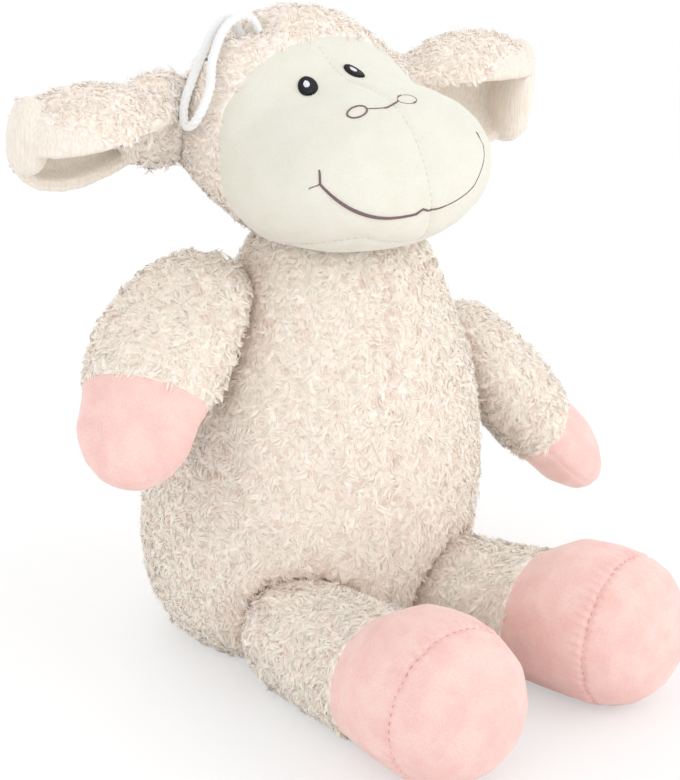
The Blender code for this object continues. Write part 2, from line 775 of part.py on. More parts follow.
def add_patch(name, tree, centre, normal, half_width, half_length, base, thickness, count, material, body):
    """Oval patch of close stitches on the surface, thickest in its middle."""
    left = head_axes()[0]
    across = unit(left - normal * np.dot(left, normal))
    along = np.cross(normal, across)
    points = [lifted(tree, centre, base), lifted(tree, centre, base + thickness)]
    for share, height in PATCH_RING_SHARES:
        ring = ellipse(centre, across * half_width * share, along * half_length * share, count)
        points += [lifted(tree, point, base) for point in ring]
        points += [lifted(tree, point, base + thickness * height) for point in ring]
    faces = []
    for column in range(count):
        beside = (column + 1) % count
        low, top = 2, 2 + count
        wide_low, wide_top = 2 + 2 * count, 2 + 3 * count
        faces.append([0, low + beside, low + column])
        faces.append([1, top + column, top + beside])
        faces.append([low + column, low + beside, wide_low + beside, wide_low + column])
        faces.append([top + beside, top + column, wide_top + column, wide_top + beside])
        faces.append([wide_low + column, wide_low + beside, wide_top + beside, wide_top + column])
    add_closed(name, points, faces, material, body)


def make_features(tree, body):
    """Stitched eyes, nostrils, nose line and mouth."""
    for side, sign in SIDE_SIGN.items():
        centre, normal = face_hit(tree, sign * EYE_PAN, EYE_LIFT)
        add_patch(f"eye_{side}", tree, centre, normal, EYE_HALF_WIDTH, EYE_HALF_LENGTH,
                  TOUCH_GAP, EYE_THICKNESS, EYE_STEPS, "black_thread", body)
        shine = centre + unit(head_axes()[2] - head_axes()[1]) * EYE_HALF_LENGTH * HIGHLIGHT_SHIFT_SHARE
        add_patch(f"eye_highlight_{side}", tree, shine, normal, HIGHLIGHT_RADIUS, HIGHLIGHT_RADIUS,
                  EYE_THICKNESS + 2 * TOUCH_GAP, THREAD_HEIGHT, HIGHLIGHT_STEPS, "white_thread", body)
        middle, normal = face_hit(tree, sign * NOSTRIL_PAN, NOSTRIL_LIFT)
        across = unit(np.cross(normal, head_axes()[1])) * NOSTRIL_HALF_WIDTH
        along = unit(np.cross(normal, across)) * NOSTRIL_HALF_HEIGHT
        add_thread(f"nostril_{side}", tree, ellipse(middle, across, along, NOSTRIL_STEPS), True, body)
    path = []
    for step in range(NOSE_LINE_STEPS + 1):
        share = 2 * step / NOSE_LINE_STEPS - 1
        lift = NOSE_LINE_LIFT - NOSE_LINE_DIP * (1 - abs(share))
        path.append(face_hit(tree, share * NOSTRIL_PAN * NOSE_LINE_REACH_SHARE, lift)[0])
    add_thread("nose_line", tree, path, False, body)
    path = [face_hit(tree, -MOUTH_PAN, MOUTH_TICK_LIFT)[0]]
    for step in range(MOUTH_STEPS + 1):
        share = 2 * step / MOUTH_STEPS - 1
        lift = MOUTH_LOW_LIFT + (MOUTH_CORNER_LIFT - MOUTH_LOW_LIFT) * abs(share) ** 3
        lift += MOUTH_NOTCH_LIFT * (step == MOUTH_STEPS // 2)
        path.append(face_hit(tree, share * MOUTH_PAN, lift)[0])
    path.append(face_hit(tree, MOUTH_PAN, MOUTH_TICK_LIFT)[0])
    add_thread("mouth", tree, path, False, body)


def make_hanging_loop(body):
    """White cord loop sewn into the crown, hanging at the side of the head."""
    anchors = [Vector(head_place(*place)) - body.location for place in LOOP_ROUTE]
    points = []
    for index in range(len(anchors) - 1):
        before = anchors[max(index - 1, 0)]
        start, end = anchors[index], anchors[index + 1]
        after = anchors[min(index + 2, len(anchors) - 1)]
        for step in range(LOOP_POINTS_PER_STEP):
            points.append(smooth_between(before, start, end, after, step / LOOP_POINTS_PER_STEP))
    points.append(anchors[-1])
    curve = bpy.data.curves.new("hanging_loop", "CURVE")
    curve.dimensions = "3D"
    curve.bevel_depth = LOOP_CORD_RADIUS
    curve.bevel_resolution = 2
    curve.use_fill_caps = True
    spline = curve.splines.new("POLY")
    spline.points.add(len(points) - 1)
    for place, point in zip(spline.points, points):
        place.co = (*point, 1.0)
    cord = bpy.data.objects.new("hanging_loop", curve)
    cord.data.materials.append(bpy.data.materials["white_cord"])
    cord.parent = body
    bpy.context.scene.collection.objects.link(cord)


def smooth_between(before, start, end, after, share):
    """Point on a smooth curve that runs through all the anchors."""
    square, cube = share ** 2, share ** 3
    return (before * (-cube + 2 * square - share) + start * (3 * cube - 5 * square + 2)
            + end * (-3 * cube + 4 * square + share) + after * (cube - square)) / 2


def ear_frame(side, tree):
    """Root point of an ear and its along, convex and across directions."""
    sign = SIDE_SIGN[side]
    left, forward, up = head_axes()
    inside = Vector(head_place(0, -EAR_SETBACK, EAR_RISE))
    ray = Vector(left * sign)
    hit, normal, _, _ = tree.ray_cast(inside + ray * HEAD_LENGTH, -ray)
    root = np.array(hit + normal * (EAR_GATHER_RADIUS + TOUCH_GAP))
    pose = EAR_POSES[side]
    along = unit(left * sign * pose["out"] + forward * pose["forward"] + up * pose["up"])
    convex = unit(up - along * np.dot(up, along))
    convex = turned(convex, along, -sign * pose["opening"])
    return root, along, convex, np.cross(along, convex)


def add_ear_sheet(name, frame, inner, wall, material, body):
    """Curled sheet of an ear, from one radius off its middle curl."""
    root, along, convex, across = frame
    layers = []
    for offset in (inner + wall, inner):
        layer = []
        for place, width, curl in EAR_STATION_SHARES:
            reach = EAR_GATHER_RADIUS + TOUCH_GAP + (EAR_LENGTH - EAR_GATHER_RADIUS) * place
            drop = EAR_LENGTH * EAR_DROOP_SHARE * place ** 2
            centre = root + along * reach - convex * drop
            radius = EAR_HALF_WIDTH * width / (curl * pi)
            for step in range(EAR_COLUMNS + 1):
                turn = curl * pi * (2 * step / EAR_COLUMNS - 1)
                spoke = convex * cos(turn) + across * sin(turn)
                layer.append(centre + spoke * (radius + offset) - convex * radius * (1 + cos(curl * pi)) / 2)
        layers.append(layer)
    rows = len(EAR_STATION_SHARES)
    width = EAR_COLUMNS + 1
    total = rows * width
    faces = []
    for row in range(rows - 1):
        for column in range(EAR_COLUMNS):
            corner = row * width + column
            loop = [corner, corner + 1, corner + 1 + width, corner + width]
            faces.append(loop)
            faces.append([point + total for point in reversed(loop)])
    rim = list(range(width))
    rim += [row * width + EAR_COLUMNS for row in range(1, rows)]
    rim += [(rows - 1) * width + column for column in range(EAR_COLUMNS - 1, -1, -1)]
    rim += [row * width for row in range(rows - 2, 0, -1)]
    for first, second in zip(rim, rim[1:] + rim[:1]):
        faces.append([second, first, first + total, second + total])
    add_closed(name, layers[0] + layers[1], faces, material, body)


def make_ear(side, tree):
    """One ear: wool outside, lining inside, gathered at the root."""
    frame = ear_frame(side, tree)
    body = add_body(f"ear_{side}", frame[0])
    add_ear_sheet(f"ear_wool_{side}", frame, TOUCH_GAP / 2, EAR_WOOL_WALL, "fleece", body)
    add_ear_sheet(f"ear_lining_{side}", frame, -TOUCH_GAP / 2 - EAR_LINING_WALL, EAR_LINING_WALL, "lining", body)
    mesh = bmesh.new()
    bmesh.ops.create_uvsphere(mesh, u_segments=GATHER_COLUMNS, v_segments=GATHER_ROWS, radius=EAR_GATHER_RADIUS)
    points = [np.array(vert.co) + frame[0] for vert in mesh.verts]
    faces = [[vert.index for vert in face.verts] for face in mesh.faces]
    mesh.free()
    add_closed(f"ear_gather_{side}", points, faces, "fleece", body)


def make_arm(side, torso):
    """One arm: inner and outer sleeve, inner and outer hand, filling."""
    frame = arm_frame(side, torso)
    form = arm_form(frame, ARM_POSES[side]["twist"])
    body = add_body(f"arm_{side}", frame[0])
    quarter = ARM_COLUMNS // 4

    def faces_torso(column):
        return column < quarter or column >= ARM_COLUMNS - quarter

    panels = {
        f"sleeve_inner_{side}": ("fleece", lambda row, column: row < CUFF_ROW and faces_torso(column)),
        f"sleeve_outer_{side}": ("fleece", lambda row, column: row < CUFF_ROW and not faces_torso(column)),
        f"hand_inner_{side}": ("pink_plush", lambda row, column: row >= CUFF_ROW and faces_torso(column)),
        f"hand_outer_{side}": ("pink_plush", lambda row, column: row >= CUFF_ROW and not faces_torso(column)),
    }
    for name, (material, keeps) in panels.items():
        add_cover(name, form, keeps, material, body)
    add_filling(f"arm_filling_{side}", form, "filling", body)


def make_leg(side, torso):
    """One leg: upper and lower sleeve, side of the foot, sole, filling."""
    pivot = hip(side, torso)
    form = leg_form(side, pivot)
    body = add_body(f"leg_{side}", pivot)
    side_seam = LEG_COLUMNS // 4

    def is_low(column):
        return column < side_seam or column >= LEG_COLUMNS - side_seam - 1

    panels = {
        f"leg_sleeve_top_{side}": ("fleece", lambda row, column: row < LEG_CUFF_ROW and not is_low(column)),
        f"leg_sleeve_under_{side}": ("fleece", lambda row, column: row < LEG_CUFF_ROW and is_low(column)),
        f"foot_side_{side}": ("pink_plush", lambda row, column: LEG_CUFF_ROW <= row < SOLE_ROW),
        f"sole_{side}": ("pink_plush", lambda row, column: row >= SOLE_ROW),
    }
    for name, (material, keeps) in panels.items():
        add_cover(name, form, keeps, material, body)
    add_filling(f"leg_filling_{side}", form, "filling", body)


def clear_scene():
    """Remove every object of the open file."""
    for thing in list(bpy.data.objects):
        bpy.data.objects.remove(thing, do_unlink=True)


def main():
    """Build the whole sheep."""
    clear_scene()
    for name in MATERIALS:
        add_material(name)
    torso = torso_form()
    make_torso(torso, add_body("torso", np.zeros(3)))
    make_neck_stitching(add_body("neck", neck_pivot()))
    head = head_form()
    head_body = add_body("head", neck_pivot())
    make_head(head, head_body)
    tree = head.tree()
    make_features(tree, head_body)
    make_hanging_loop(head_body)
    for side in SIDE_SIGN:
        make_ear(side, tree)
        make_arm(side, torso)
        make_leg(side, torso)


main()
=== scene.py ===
"""Looks of the seated plush sheep: curly wool, smooth plush, stitched face and hanging cord.

Lengths are metres. The sheep looks along -Y and its own left side is at +X.
"""

import json
import math

import bmesh
import bpy
import numpy as np
from mathutils import Matrix, Vector
from mathutils import noise as mathutils_noise
from mathutils.bvhtree import BVHTree

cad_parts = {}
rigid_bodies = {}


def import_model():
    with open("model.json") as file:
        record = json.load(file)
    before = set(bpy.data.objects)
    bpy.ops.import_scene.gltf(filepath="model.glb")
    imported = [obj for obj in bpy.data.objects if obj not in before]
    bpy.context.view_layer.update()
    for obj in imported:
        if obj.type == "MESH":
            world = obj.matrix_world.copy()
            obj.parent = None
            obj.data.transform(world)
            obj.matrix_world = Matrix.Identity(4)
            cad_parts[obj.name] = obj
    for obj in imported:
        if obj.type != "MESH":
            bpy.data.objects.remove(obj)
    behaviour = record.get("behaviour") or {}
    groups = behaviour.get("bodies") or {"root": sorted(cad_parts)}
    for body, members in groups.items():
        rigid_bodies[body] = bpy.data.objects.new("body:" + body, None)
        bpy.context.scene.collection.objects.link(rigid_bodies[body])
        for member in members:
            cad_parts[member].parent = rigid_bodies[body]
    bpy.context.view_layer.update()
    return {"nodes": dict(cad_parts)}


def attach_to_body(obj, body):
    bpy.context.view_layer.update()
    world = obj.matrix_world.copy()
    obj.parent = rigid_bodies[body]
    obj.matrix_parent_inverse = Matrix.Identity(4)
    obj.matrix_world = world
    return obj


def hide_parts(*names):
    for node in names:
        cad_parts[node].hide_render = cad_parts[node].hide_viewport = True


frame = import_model()
nodes = frame["nodes"]
MM = 0.001
SIDES = {"right": -1, "left": 1}

# Neck pivot and the head's own directions, as in the solids
NECK_PIVOT = Vector((0.0055, -0.008, 0.13583))
UP = Vector((0, 0, 1))
HEAD_YAW, HEAD_ROLL = math.radians(7), math.radians(3)
HEAD_TURN = Matrix.Rotation(HEAD_YAW, 3, UP)
HEAD_FORWARD = HEAD_TURN @ Vector((0, -1, 0))
HEAD_LEAN = Matrix.Rotation(HEAD_ROLL, 3, HEAD_FORWARD)
HEAD_LEFT = HEAD_LEAN @ (HEAD_TURN @ Vector((1, 0, 0)))
HEAD_UP = HEAD_LEAN @ UP
HEAD_CENTRE = NECK_PIVOT + HEAD_FORWARD * 0.005 + UP * 0.050


def head_place(left, forward, up):
    """World place of a point given from the head's centre."""
    return HEAD_CENTRE + HEAD_LEFT * left + HEAD_FORWARD * forward + HEAD_UP * up


# Camera, lamps and floor
AZIMUTH, ELEVATION = math.radians(-31), math.radians(20)
VIEW_BACK = Vector((math.sin(AZIMUTH) * math.cos(ELEVATION), -math.cos(AZIMUTH) * math.cos(ELEVATION),
                    math.sin(ELEVATION)))
VIEW_RIGHT = Vector((math.cos(AZIMUTH), math.sin(AZIMUTH), 0))
VIEW_UP = VIEW_BACK.cross(VIEW_RIGHT)
VIEW_AIM, VIEW_DISTANCE, VIEW_ANGLE = Vector((-0.006, -0.030, 0.106)), 0.72, math.radians(22.3)
LAMP_AIM = Vector((0, -0.02, 0.11))
LAMPS = {
    "right": ((0.85, -0.9, 0.75), 0.9, 3.4, (1.0, 0.985, 0.95)),
    "left": ((-1.1, -0.5, 0.7), 0.9, 2.7, (1.0, 0.97, 0.93)),
    "low": ((0.6, -1.1, 0.3), 0.7, 2.0, (1.0, 0.98, 0.96)),
    "behind": ((0.3, 1.0, 0.9), 0.8, 3, (1.0, 0.98, 0.97)),
}
ROOM_COLOUR, ROOM_GLOW, FLOOR_COLOUR = (0.98, 0.985, 1.0), 0.96, (0.93, 0.925, 0.92)
FADE_START, FADE_END, FADE_LEAST = 0.25, 1.1, 0.45


def looking(direction):
    """Turn of a camera or lamp that looks this way."""
    return direction.to_track_quat("-Z", "Y").to_euler()


def add_camera():
    """Camera at the photograph's angle."""
    bpy.ops.object.camera_add(location=VIEW_AIM + VIEW_BACK * VIEW_DISTANCE, rotation=looking(-VIEW_BACK))
    camera = bpy.context.object
    camera.data.angle = VIEW_ANGLE
    bpy.context.scene.camera = camera


def add_lamp(name, place, size, power, colour):
    """Large soft lamp aimed at the sheep."""
    bpy.ops.object.light_add(type="AREA", location=place, rotation=looking(LAMP_AIM - Vector(place)))
    lamp = bpy.context.object
    lamp.name = name
    lamp.data.size, lamp.data.energy, lamp.data.color = size, power, colour


def add_node(tree, kind, inputs=None, **properties):
    """Shader node with these properties set, and its inputs set to values or wired to sockets."""
    node = tree.nodes.new("ShaderNode" + kind)
    for key, value in properties.items():
        setattr(node, key, value)
    wire(tree, node, inputs or {})
    return node


def wire(tree, node, inputs):
    """Sets inputs of a node to values, or wires them to sockets."""
    for key, value in inputs.items():
        if isinstance(value, bpy.types.NodeSocket):
            tree.links.new(value, node.inputs[key])
        else:
            is_colour = node.inputs[key].type == "RGBA" and len(value) == 3
            node.inputs[key].default_value = (*value, 1) if is_colour else value


def add_studio():
    """White room, four soft lamps and a pale floor that fades into the room."""
    bpy.context.scene.view_settings.view_transform = "Standard"
    world = bpy.data.worlds.new("studio")
    bpy.context.scene.world = world
    world.use_nodes = True
    tree = world.node_tree
    tree.nodes.clear()
    seen = add_node(tree, "Background", {"Color": (1, 1, 1), "Strength": 1.0})
    glow = add_node(tree, "Background", {"Color": ROOM_COLOUR, "Strength": ROOM_GLOW})
    is_seen = add_node(tree, "LightPath").outputs["Is Camera Ray"]
    mix = add_node(tree, "MixShader", {0: is_seen, 1: glow.outputs[0], 2: seen.outputs[0]})
    add_node(tree, "OutputWorld", {"Surface": mix.outputs[0]})
    for name, lamp in LAMPS.items():
        add_lamp("lamp_" + name, *lamp)
    bpy.ops.mesh.primitive_plane_add(size=12, location=(0, 2, 0))
    floor = bpy.context.object
    floor.name = "floor"
    bpy.ops.object.transform_apply()
    material = bpy.data.materials.new("pale_floor")
    material.use_nodes = True
    tree = material.node_tree
    shader = tree.nodes["Principled BSDF"]
    wire(tree, shader, {"Base Color": FLOOR_COLOUR, "Roughness": 0.9})
    glow = add_node(tree, "Emission")
    is_seen = add_node(tree, "LightPath").outputs["Is Camera Ray"]
    place = add_node(tree, "TexCoord").outputs["Object"]
    away = add_node(tree, "VectorMath", {0: place}, operation="LENGTH").outputs["Value"]
    fade = add_node(tree, "MapRange", {"Value": away, "From Min": FADE_START, "From Max": FADE_END,
                                       "To Min": FADE_LEAST})
    share = add_node(tree, "Math", {0: is_seen, 1: fade.outputs["Result"]}, operation="MULTIPLY")
    mix = add_node(tree, "MixShader", {0: share.outputs[0], 1: shader.outputs[0], 2: glow.outputs[0]})
    wire(tree, tree.nodes["Material Output"], {"Surface": mix.outputs[0]})
    floor.data.materials.append(material)


# Materials

def add_finish(name, roughness, sheen):
    """Cloth material with its shader's plain sockets set."""
    material = bpy.data.materials.new(name)
    material.use_nodes = True
    shader = material.node_tree.nodes["Principled BSDF"]
    wire(material.node_tree, shader, {"Roughness": roughness, "Sheen Weight": sheen, "Sheen Roughness": 0.5,
                                      "Specular IOR Level": 0.15})
    return material, material.node_tree, shader


def ramped(tree, source, stops):
    """Colour socket that follows a value through these places and colours."""
    ramp = add_node(tree, "ValToRGB", {0: source})
    while len(ramp.color_ramp.elements) < len(stops):
        ramp.color_ramp.elements.new(0.5)
    for element, (place, colour) in zip(ramp.color_ramp.elements, stops):
        element.position = place
        element.color = (*colour, 1)
    return ramp.outputs[0]


def noise(tree, scale, detail, stretch=(1, 1, 1)):
    """Noise on the object's own coordinates, stretched along some of them."""
    place = add_node(tree, "TexCoord").outputs["Object"]
    if stretch != (1, 1, 1):
        place = add_node(tree, "Mapping", {"Vector": place, "Scale": stretch}).outputs[0]
    return add_node(tree, "TexNoise", {"Scale": scale, "Detail": detail, "Vector": place}).outputs["Fac"]


def multiplied(tree, first, second):
    """Product of two colour sockets."""
    mix = add_node(tree, "Mix", data_type="RGBA", blend_type="MULTIPLY")
    wire(tree, mix, {0: 1.0, 6: first, 7: second})
    return mix.outputs[2]


def add_bump(tree, shader, height, strength, distance):
    """Bump of a shader's surface from a height socket."""
    bump = add_node(tree, "Bump", {"Strength": strength, "Distance": distance, "Height": height})
    wire(tree, shader, {"Normal": bump.outputs[0]})


def wool_finish(name, root, middle, tip, fleck_and_shade):
    """Curly pile, coloured along each strand from a painted shade at the root to cream at the tip, with
    flecks of root colour that hold random dark locks and painted shade.
    """
    material, tree, shader = add_finish(name, 0.9, 0.5)
    strand = add_node(tree, "UVMap", uv_map="OFBake")
    parts = add_node(tree, "SeparateXYZ", {0: strand.outputs[0]})
    along = ramped(tree, parts.outputs["Y"], [(0.0, root), (0.34, middle), (0.62, tip)])
    tone = ramped(tree, parts.outputs["X"], [(0.0, tip), (1.0, fleck_and_shade)])
    wire(tree, shader, {"Base Color": multiplied(tree, along, tone)})
    return material


def backing_finish(name, deep, high):
    """Matted wool close to the cloth, seen between the locks, mottled toward a deep tone that is painted
    shade of the gaps.
    """
    material, tree, shader = add_finish(name, 0.9, 0.5)
    tufts = noise(tree, 620, 4)
    wire(tree, shader, {"Base Color": ramped(tree, tufts, [(0.40, deep), (0.56, high)])})
    add_bump(tree, shader, tufts, 0.7, 0.0012)
    return material


def plush_finish(name, colour, worn, shade, nap):
    """Short smooth pile: a fine nap, brushed patches and a soft sheen."""
    material, tree, shader = add_finish(name, 0.85, 0.3)
    brushed = ramped(tree, noise(tree, 110, 3), [(0.36, worn), (0.62, colour)])
    fibres = noise(tree, nap, 3)
    speckle = ramped(tree, fibres, [(0.34, shade), (0.56, (1, 1, 1))])
    wire(tree, shader, {"Base Color": multiplied(tree, brushed, speckle)})
    add_bump(tree, shader, fibres, 0.35, 0.0003)
    return material


def lining_finish(name, colour, shade, deep):
    """Short ribbed nap, with the ribs running up and down, and painted shade that deepens inside the fold."""
    material, tree, shader = add_finish(name, 0.85, 0.35)
    ribs = noise(tree, 1500, 2, (1, 1, 0.1))
    fold = add_node(tree, "Attribute", attribute_name="fold")
    fold_shaded = ramped(tree, fold.outputs["Fac"], [(0.15, (1, 1, 1)), (0.6, deep)])
    ribbed = ramped(tree, ribs, [(0.36, shade), (0.60, colour)])
    wire(tree, shader, {"Base Color": multiplied(tree, ribbed, fold_shaded)})
    add_bump(tree, shader, ribs, 0.5, 0.0004)
    return material


def thread_finish(name, colour, worn, sheen=0.1):
    """Twisted sewing thread with a slight lustre."""
    material, tree, shader = add_finish(name, 0.55, sheen)
    fibres = noise(tree, 2600, 2)
    wire(tree, shader, {"Base Color": ramped(tree, fibres, [(0.35, worn), (0.65, colour)])})
    return material


# Cloth forms taken from the solids

def only(*pieces):
    """Selects just these pieces, the first one active."""
    bpy.ops.object.select_all(action="DESELECT")
    for piece in pieces:
        piece.select_set(True)
    bpy.context.view_layer.objects.active = pieces[0]


def apply_modifier(piece, kind, **values):
    """Adds a modifier with these values and applies it."""
    modifier = piece.modifiers.new(kind.lower(), kind)
    for key, value in values.items():
        setattr(modifier, key, value)
    only(piece)
    bpy.ops.object.modifier_apply(modifier=modifier.name)


def copied(name, members):
    """One loose mesh copied from several solids."""
    only(*[nodes[member] for member in members])
    bpy.ops.object.duplicate()
    copies = list(bpy.context.selected_objects)
    bpy.context.view_layer.objects.active = copies[0]
    bpy.ops.object.parent_clear(type="CLEAR_KEEP_TRANSFORM")
    if len(copies) > 1:
        bpy.ops.object.join()
    piece = bpy.context.object
    piece.name = name
    piece.data.name = name
    for key in list(piece.keys()):
        del piece[key]
    piece.data.materials.clear()
    return piece


# Grain in mm, rounds of smoothing and swell in mm of each kind of cloth form
CLOTHS = {"torso": (2.0, 24, 0.4), "head": (1.1, 50, 0.7), "limb": (1.2, 20, 0.4), "ear": (0.9, 18, 0.3),
          "neck": (0.9, 6, 0.1)}


def cloth_form(name, members, cloth, bulk=None):
    """Soft closed form over several solids and the bulk of their pile, without their facets."""
    grain, rounds, swell = CLOTHS[cloth]
    piece = copied(name, members)
    if bulk:
        only(piece, *bulk)
        bpy.ops.object.join()
    piece.data.remesh_voxel_size = grain * MM
    bpy.ops.object.voxel_remesh()
    apply_modifier(piece, "SMOOTH", factor=0.5, iterations=rounds)
    apply_modifier(piece, "DISPLACE", strength=swell * MM, mid_level=0.0)
    bpy.ops.object.shade_smooth()
    return piece


def places(piece):
    """Vertex places of a mesh piece."""
    flat = np.zeros(len(piece.data.vertices) * 3)
    piece.data.vertices.foreach_get("co", flat)
    return flat.reshape(-1, 3)


def directions(piece):
    """Vertex normals of a mesh piece."""
    return np.array([vertex.normal for vertex in piece.data.vertices]).reshape(-1, 3)


def unit_rows(rows):
    """Rows at length one."""
    return rows / np.maximum(np.linalg.norm(rows, axis=1), 1e-9)[:, None]


def rising(values, start, width, least=0):
    """Share that rises from the start to 1 a width further on, and is never under the least one."""
    return np.clip((values - start) / width, least, 1)


def fading(gaps, reach):
    """Share of 1 at a gap of zero that fades smoothly past the reach."""
    return np.exp(-(gaps / reach) ** 2)


def line_gaps(points, line):
    """Distance from each point to the nearest point of a line."""
    return np.array([np.sqrt(((line - point) ** 2).sum(1).min()) for point in points])


def move_to(piece, points):
    """Puts the vertices of a piece at new places."""
    piece.data.vertices.foreach_set("co", np.asarray(points, dtype=np.float32).ravel())
    piece.data.update()


def search_tree(piece):
    """Nearest-point search over a piece's faces."""
    return BVHTree.FromPolygons([vertex.co for vertex in piece.data.vertices],
                                [face.vertices[:] for face in piece.data.polygons])


def tree_gaps(points, tree):
    """Distance from each point to the faces in a search tree."""
    return np.array([tree.find_nearest(Vector(point))[3] for point in points])


TREES = {name: search_tree(node) for name, node in nodes.items()}


def distances(points, members):
    """Distance from each point to each of several solids."""
    return np.stack([tree_gaps(points, TREES[member]) for member in members], axis=1)


def seam_distances(points, members):
    """Distance from each point to the seam between its panel and the next."""
    return np.sort(distances(points, members), axis=1)[:, 1]


def sink_seams(piece, members, width, depth):
    """Draws the cloth in along the seams between its panels, by a width and depth in mm."""
    points = places(piece)
    share = fading(seam_distances(points, members), width * MM)
    move_to(piece, points - directions(piece) * (share * (depth * MM))[:, None])


def give_finish(piece, finish):
    """Material of a piece."""
    piece.data.materials.clear()
    piece.data.materials.append(finish)


def attach(piece, body, *solids):
    """Makes a piece ride on a body and stand for these solids."""
    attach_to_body(piece, body)
    if solids:
        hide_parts(*solids)


def split_faces(piece, chosen, name):
    """Parts off the faces whose points are chosen, and returns them as a piece of their own."""
    for label, values in (("chosen", chosen), ("old_rim", open_edge(piece))):
        mark = piece.data.attributes.new(label, "FLOAT", "POINT")
        mark.data.foreach_set("value", values.astype(np.float32))
    piece.data.materials.clear()
    piece.data.materials.append(None)
    piece.data.materials.append(None)
    for face in piece.data.polygons:
        face.material_index = int(chosen[list(face.vertices)].mean() > 0.5)
    only(piece)
    bpy.ops.object.mode_set(mode="EDIT")
    bpy.ops.mesh.select_all(action="SELECT")
    bpy.ops.mesh.separate(type="MATERIAL")
    bpy.ops.object.mode_set(mode="OBJECT")
    other = [part for part in bpy.context.selected_objects if part != piece][0]
    if marked(piece, "chosen").mean() > marked(other, "chosen").mean():
        piece.data, other.data = other.data, piece.data
    other.name = name
    for part in (piece, other):
        relax_rim(part)
        for label in ("chosen", "old_rim"):
            part.data.attributes.remove(part.data.attributes[label])
    return other


def open_edge(piece):
    """True for the points on an open edge of a piece."""
    mesh = bmesh.new()
    mesh.from_mesh(piece.data)
    found = np.array([vertex.is_boundary for vertex in mesh.verts])
    mesh.free()
    return found


def marked(piece, label):
    """Values of a mark on a piece's points."""
    values = np.zeros(len(piece.data.vertices), dtype=np.float32)
    piece.data.attributes[label].data.foreach_get("value", values)
    return values


def relax_rim(piece):
    """Evens out the new cut edge of a cloth form."""
    old = marked(piece, "old_rim") > 0.5
    mesh = bmesh.new()
    mesh.from_mesh(piece.data)
    rim = [vertex for vertex in mesh.verts if vertex.is_boundary and not old[vertex.index]]
    for _ in range(12):
        moved = {}
        for vertex in rim:
            beside = [edge.other_vert(vertex).co for edge in vertex.link_edges if edge.is_boundary]
            moved[vertex] = (vertex.co * 2 + beside[0] + beside[1]) / 4
        for vertex, place in moved.items():
            vertex.co = place
    mesh.to_mesh(piece.data)
    mesh.free()


# Stitches

def model_stitch():
    """Points and faces of one stitch: a thread along X that rises out of the cloth and dips back in."""
    bpy.ops.mesh.primitive_cylinder_add(vertices=6, radius=1, depth=1, rotation=(0, math.pi / 2, 0))
    piece = bpy.context.object
    bpy.ops.object.transform_apply()
    bpy.ops.object.mode_set(mode="EDIT")
    for cut in (-0.38, -0.16, 0.16, 0.38):
        bpy.ops.mesh.select_all(action="SELECT")
        bpy.ops.mesh.bisect(plane_co=(cut, 0, 0), plane_no=(1, 0, 0))
    bpy.ops.mesh.select_all(action="SELECT")
    bpy.ops.mesh.quads_convert_to_tris()
    bpy.ops.object.mode_set(mode="OBJECT")
    points = places(piece)
    faces = np.array([face.vertices[:] for face in piece.data.polygons])
    bpy.data.objects.remove(piece)
    share = np.clip(1 - (2 * points[:, 0]) ** 2, 0, 1)
    points[:, 1:] *= (0.45 + 0.55 * np.sqrt(share))[:, None]
    points[:, 2] += share * 0.9 - 0.5
    return points, faces


STITCH_POINTS, STITCH_FACES = model_stitch()


def stitch_piece(name, stitches, finish):
    """Copies the stitch to each (middle, direction, outward, length, radius) as one piece."""
    points, faces = [], []
    for middle, along, outward, length, radius in stitches:
        along = (along - outward * along.dot(outward)).normalized()
        across = outward.cross(along)
        frame_rows = np.array([along * length, across * radius, outward * radius])
        faces.append(STITCH_FACES + len(points) * len(STITCH_POINTS))
        points.append(STITCH_POINTS @ frame_rows + np.array(middle))
    return mesh_piece(name, np.vstack(points), np.vstack(faces), finish)


def evenly(spots, step, closed=False):
    """Places, directions along, directions outward and shares gone, at equal steps of a line of spots."""
    spots = spots + spots[:1] if closed else spots
    reached = [0.0]
    for (before, _), (after, _) in zip(spots, spots[1:]):
        reached.append(reached[-1] + (after - before).length)
    count = max(int(round(reached[-1] / step)), 1)
    found, index = [], 0
    for number in range(count):
        goal = (number + 0.5) * reached[-1] / count
        while reached[index + 1] < goal:
            index += 1
        share = (goal - reached[index]) / (reached[index + 1] - reached[index])
        (before, first), (after, second) = spots[index], spots[index + 1]
        found.append((before.lerp(after, share), (after - before).normalized(),
                      first.lerp(second, share).normalized(), goal / reached[-1]))
    return found


# Step and length in mm and slant in degrees of each run of stitches
RUNS = {"eye_edge": (0.9, 1.5, 20), "nostril": (1.0, 1.7, 10), "nose": (1.0, 1.7, 8),
        "mouth": (0.75, 1.9, 14), "mouth_corner": (1.0, 1.4, 25), "face_seam": (2.4, 1.5, 0),
        "sole": (2.9, 1.7, 0)}


def thread_line(spots, run, radius, closed=False):
    """Stitches along a line, each turned a little across it. The radius, in mm, may follow the share gone."""
    step, length, slant = RUNS[run]
    stitches = []
    for middle, along, outward, share in evenly(spots, step * MM, closed):
        turned = Matrix.Rotation(math.radians(slant), 3, outward) @ along
        size = radius(share) if callable(radius) else radius
        stitches.append((middle, turned, outward, length * MM, size * MM))
    return stitches


SEAM_HALF_WIDTH, SEAM_REACH = 0.9 * MM, 3 * MM


